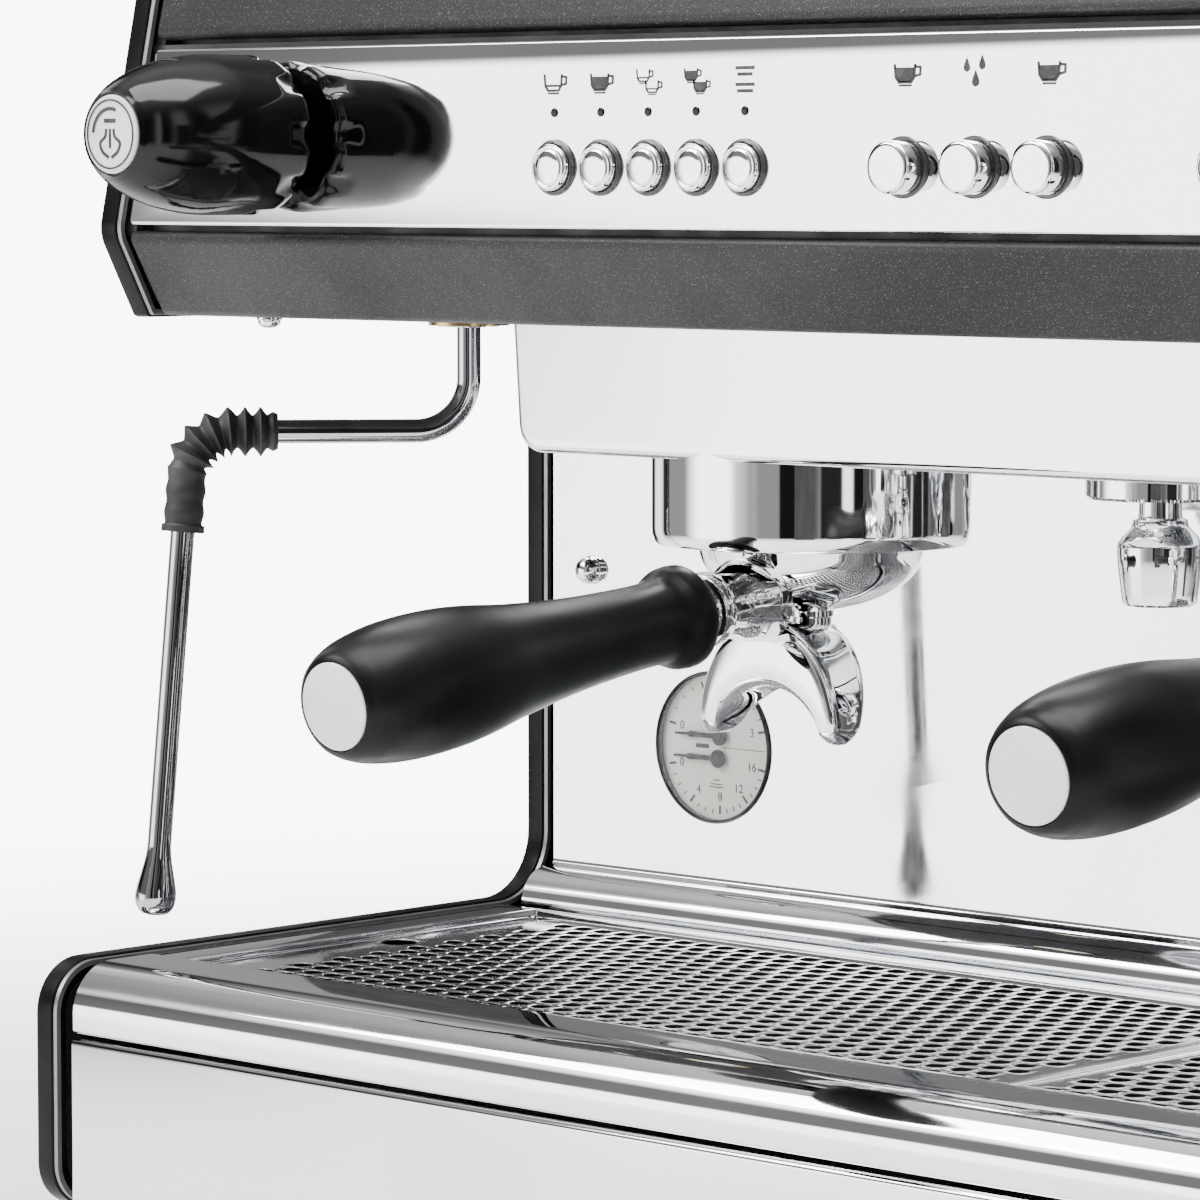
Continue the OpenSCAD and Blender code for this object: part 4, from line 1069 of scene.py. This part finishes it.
# Upright flags round the set: azimuth from the front towards +X, half width, soft edge (degrees), darkening
FLAGS = [(24, 6, 2, 0.97), (41, 5, 5, 0.6), (55, 8, 3, 0.93), (76, 5, 2, 0.97), (101, 8, 6, 0.9),
        (146, 6, 4, 0.93), (180, 14, 8, 0.9), (-9, 9, 9, 0.75), (-88, 5, 3, 0.9), (-121, 7, 4, 0.9),
        (-146, 10, 8, 0.92)]
# Standing black cards that only reflections see: azimuth, distance, width and height (mm)
STANDS = [(27, 1050, 250, 700), (74, 1000, 190, 700), (150, 1100, 220, 600), (-120, 950, 200, 520)]
# Bright cards: azimuth, half width, soft edge (degrees), extra brightness
CARDS = [(-30, 24, 20, 4.6), (118, 12, 10, 1.6), (-104, 9, 8, 2.0), (66, 4, 3, 2.4), (88, 5, 4, 2.0)]


def build_world():
    """A white studio with upright dark flags and bright cards, which polished metal needs to read as metal."""
    world = bpy.data.worlds.new("studio")
    scene.world = world
    world.use_nodes = True
    graph = Graph(world.node_tree)
    x, y, z = graph.add("SeparateXYZ", Vector=graph.add("TexCoord").outputs["Generated"]).outputs

    def calc(operation, a, b=None):
        node = graph.add("Math")
        node.operation = operation
        for socket, value in zip(node.inputs, (a, b)):
            if isinstance(value, (int, float)):
                socket.default_value = value
            elif value is not None:
                graph.links.new(value, socket)
        return node.outputs[0]

    azimuth = calc("MULTIPLY", calc("ARCTAN2", x, calc("MULTIPLY", y, -1.0)), 180 / pi)
    elevation = calc("MULTIPLY", calc("ARCSINE", z), 180 / pi)

    def band(middle, half, soft, amount):
        turn = calc("WRAP", calc("SUBTRACT", azimuth, float(middle)), 180.0)
        turn.node.inputs[2].default_value = -180.0
        return graph.step(calc("ABSOLUTE", turn), half - soft / 2, half + soft / 2, amount, 0.0)

    light = BASE_LIGHT
    low = graph.step(elevation, 26, 46, 1.0, 0.0)
    for card in CARDS:
        light = calc("ADD", light, calc("MULTIPLY", band(*card), low))
    light = calc("ADD", light, graph.step(elevation, 38, 62, 0.0, 1.2))
    shade = band(*FLAGS[0])
    for flag in FLAGS[1:]:
        shade = calc("MAXIMUM", shade, band(*flag))
    shade = calc("MULTIPLY", shade, graph.step(elevation, 24, 40, 1.0, 0.0))
    belt = calc("MULTIPLY", graph.step(elevation, 5, 8, 0.0, 0.95), graph.step(elevation, 22, 30, 1.0, 0.0))
    belt = calc("MULTIPLY", belt, band(-55, 50, 12, 1.0))
    shade = calc("MAXIMUM", shade, belt)
    light = calc("MULTIPLY", light, calc("SUBTRACT", 1.0, shade))
    seen = graph.add("Mix", Factor=graph.add("LightPath").outputs["Is Camera Ray"], A=light, B=BACKDROP)
    background = graph.nodes["Background"]
    graph.links.new(seen.outputs["Result"], background.inputs["Strength"])
    background.inputs["Color"].default_value = (1.0, 1.0, 1.0, 1.0)


def area_light(name, location, target, size, power):
    light = bpy.data.lights.new(name, "AREA")
    light.shape, light.size, light.size_y = "RECTANGLE", size[0], size[1]
    light.energy = power
    obj = bpy.data.objects.new(name, light)
    obj.location = location
    obj.rotation_euler = (Vector(target) - Vector(location)).to_track_quat("-Z", "Y").to_euler()
    scene.collection.objects.link(obj)


def build_stage():
    floor = Shader("floor", (0.90, 0.90, 0.905), 0.0, 0.75, Specular_IOR_Level=0.2)
    floor.rough(3, 0.05).blotch(2, (0.885, 0.885, 0.89))
    length = floor.nodes.new("ShaderNodeVectorMath")
    length.operation = "LENGTH"
    floor.links.new(floor.add("TexCoord").outputs["Object"], length.inputs[0])
    floor.links.new(floor.step(length.outputs["Value"], 0.65, 1.7, 1.0, 0.0), floor.bsdf.inputs["Alpha"])
    rim = [(*p, 0) for p in arc(0, 0, 1800, 0, 360, 96)[:-1]]
    disc = piece("floor", [(rim, [list(range(96))])], "floor", body=None)
    for i, (turn, far, wide, high) in enumerate(STANDS):
        a = radians(turn)
        x, y = far * sin(a), -far * cos(a)
        card = piece("card_%d" % i, [block(-wide / 2, wide / 2, -4, 4, 0, high, 2)], "plastic_dark", body=None)
        card.location, card.rotation_euler = (x * MM, y * MM, 0.002), (0, 0, a)
        card.visible_camera = card.visible_shadow = card.visible_diffuse = False
    area_light("key_soft", (-1.6, -1.9, 2.2), (0, 0, 0.2), (1.8, 1.2), 90)
    area_light("top_soft", (0.2, -0.2, 2.8), (0, 0, 0.2), (2.4, 1.6), 150)
    area_light("rear_soft", (0.8, 2.2, 1.8), (0, 0, 0.3), (1.8, 1.2), 35)


def build_camera():
    data = bpy.data.cameras.new("camera")
    data.sensor_width, data.lens = 36.0, 159.3
    data.clip_start, data.clip_end = 0.01, 60
    camera = bpy.data.objects.new("camera", data)
    camera.location = (0.9236, -1.3148, 0.3815)
    camera.rotation_euler = (radians(90 - 4.60), 0, radians(43.51))
    scene.collection.objects.link(camera)
    scene.camera = camera


dress_cad()
build_body()
build_fascias()
build_gap_shade_strips()
build_cover()
build_tray()
build_grilles()
build_backsplash()
build_screws()
build_feet()
build_rail()
build_groups()
build_knobs()
build_wands()
build_buttons()
build_marks()
build_gauge()
build_world()
build_stage()
build_camera()
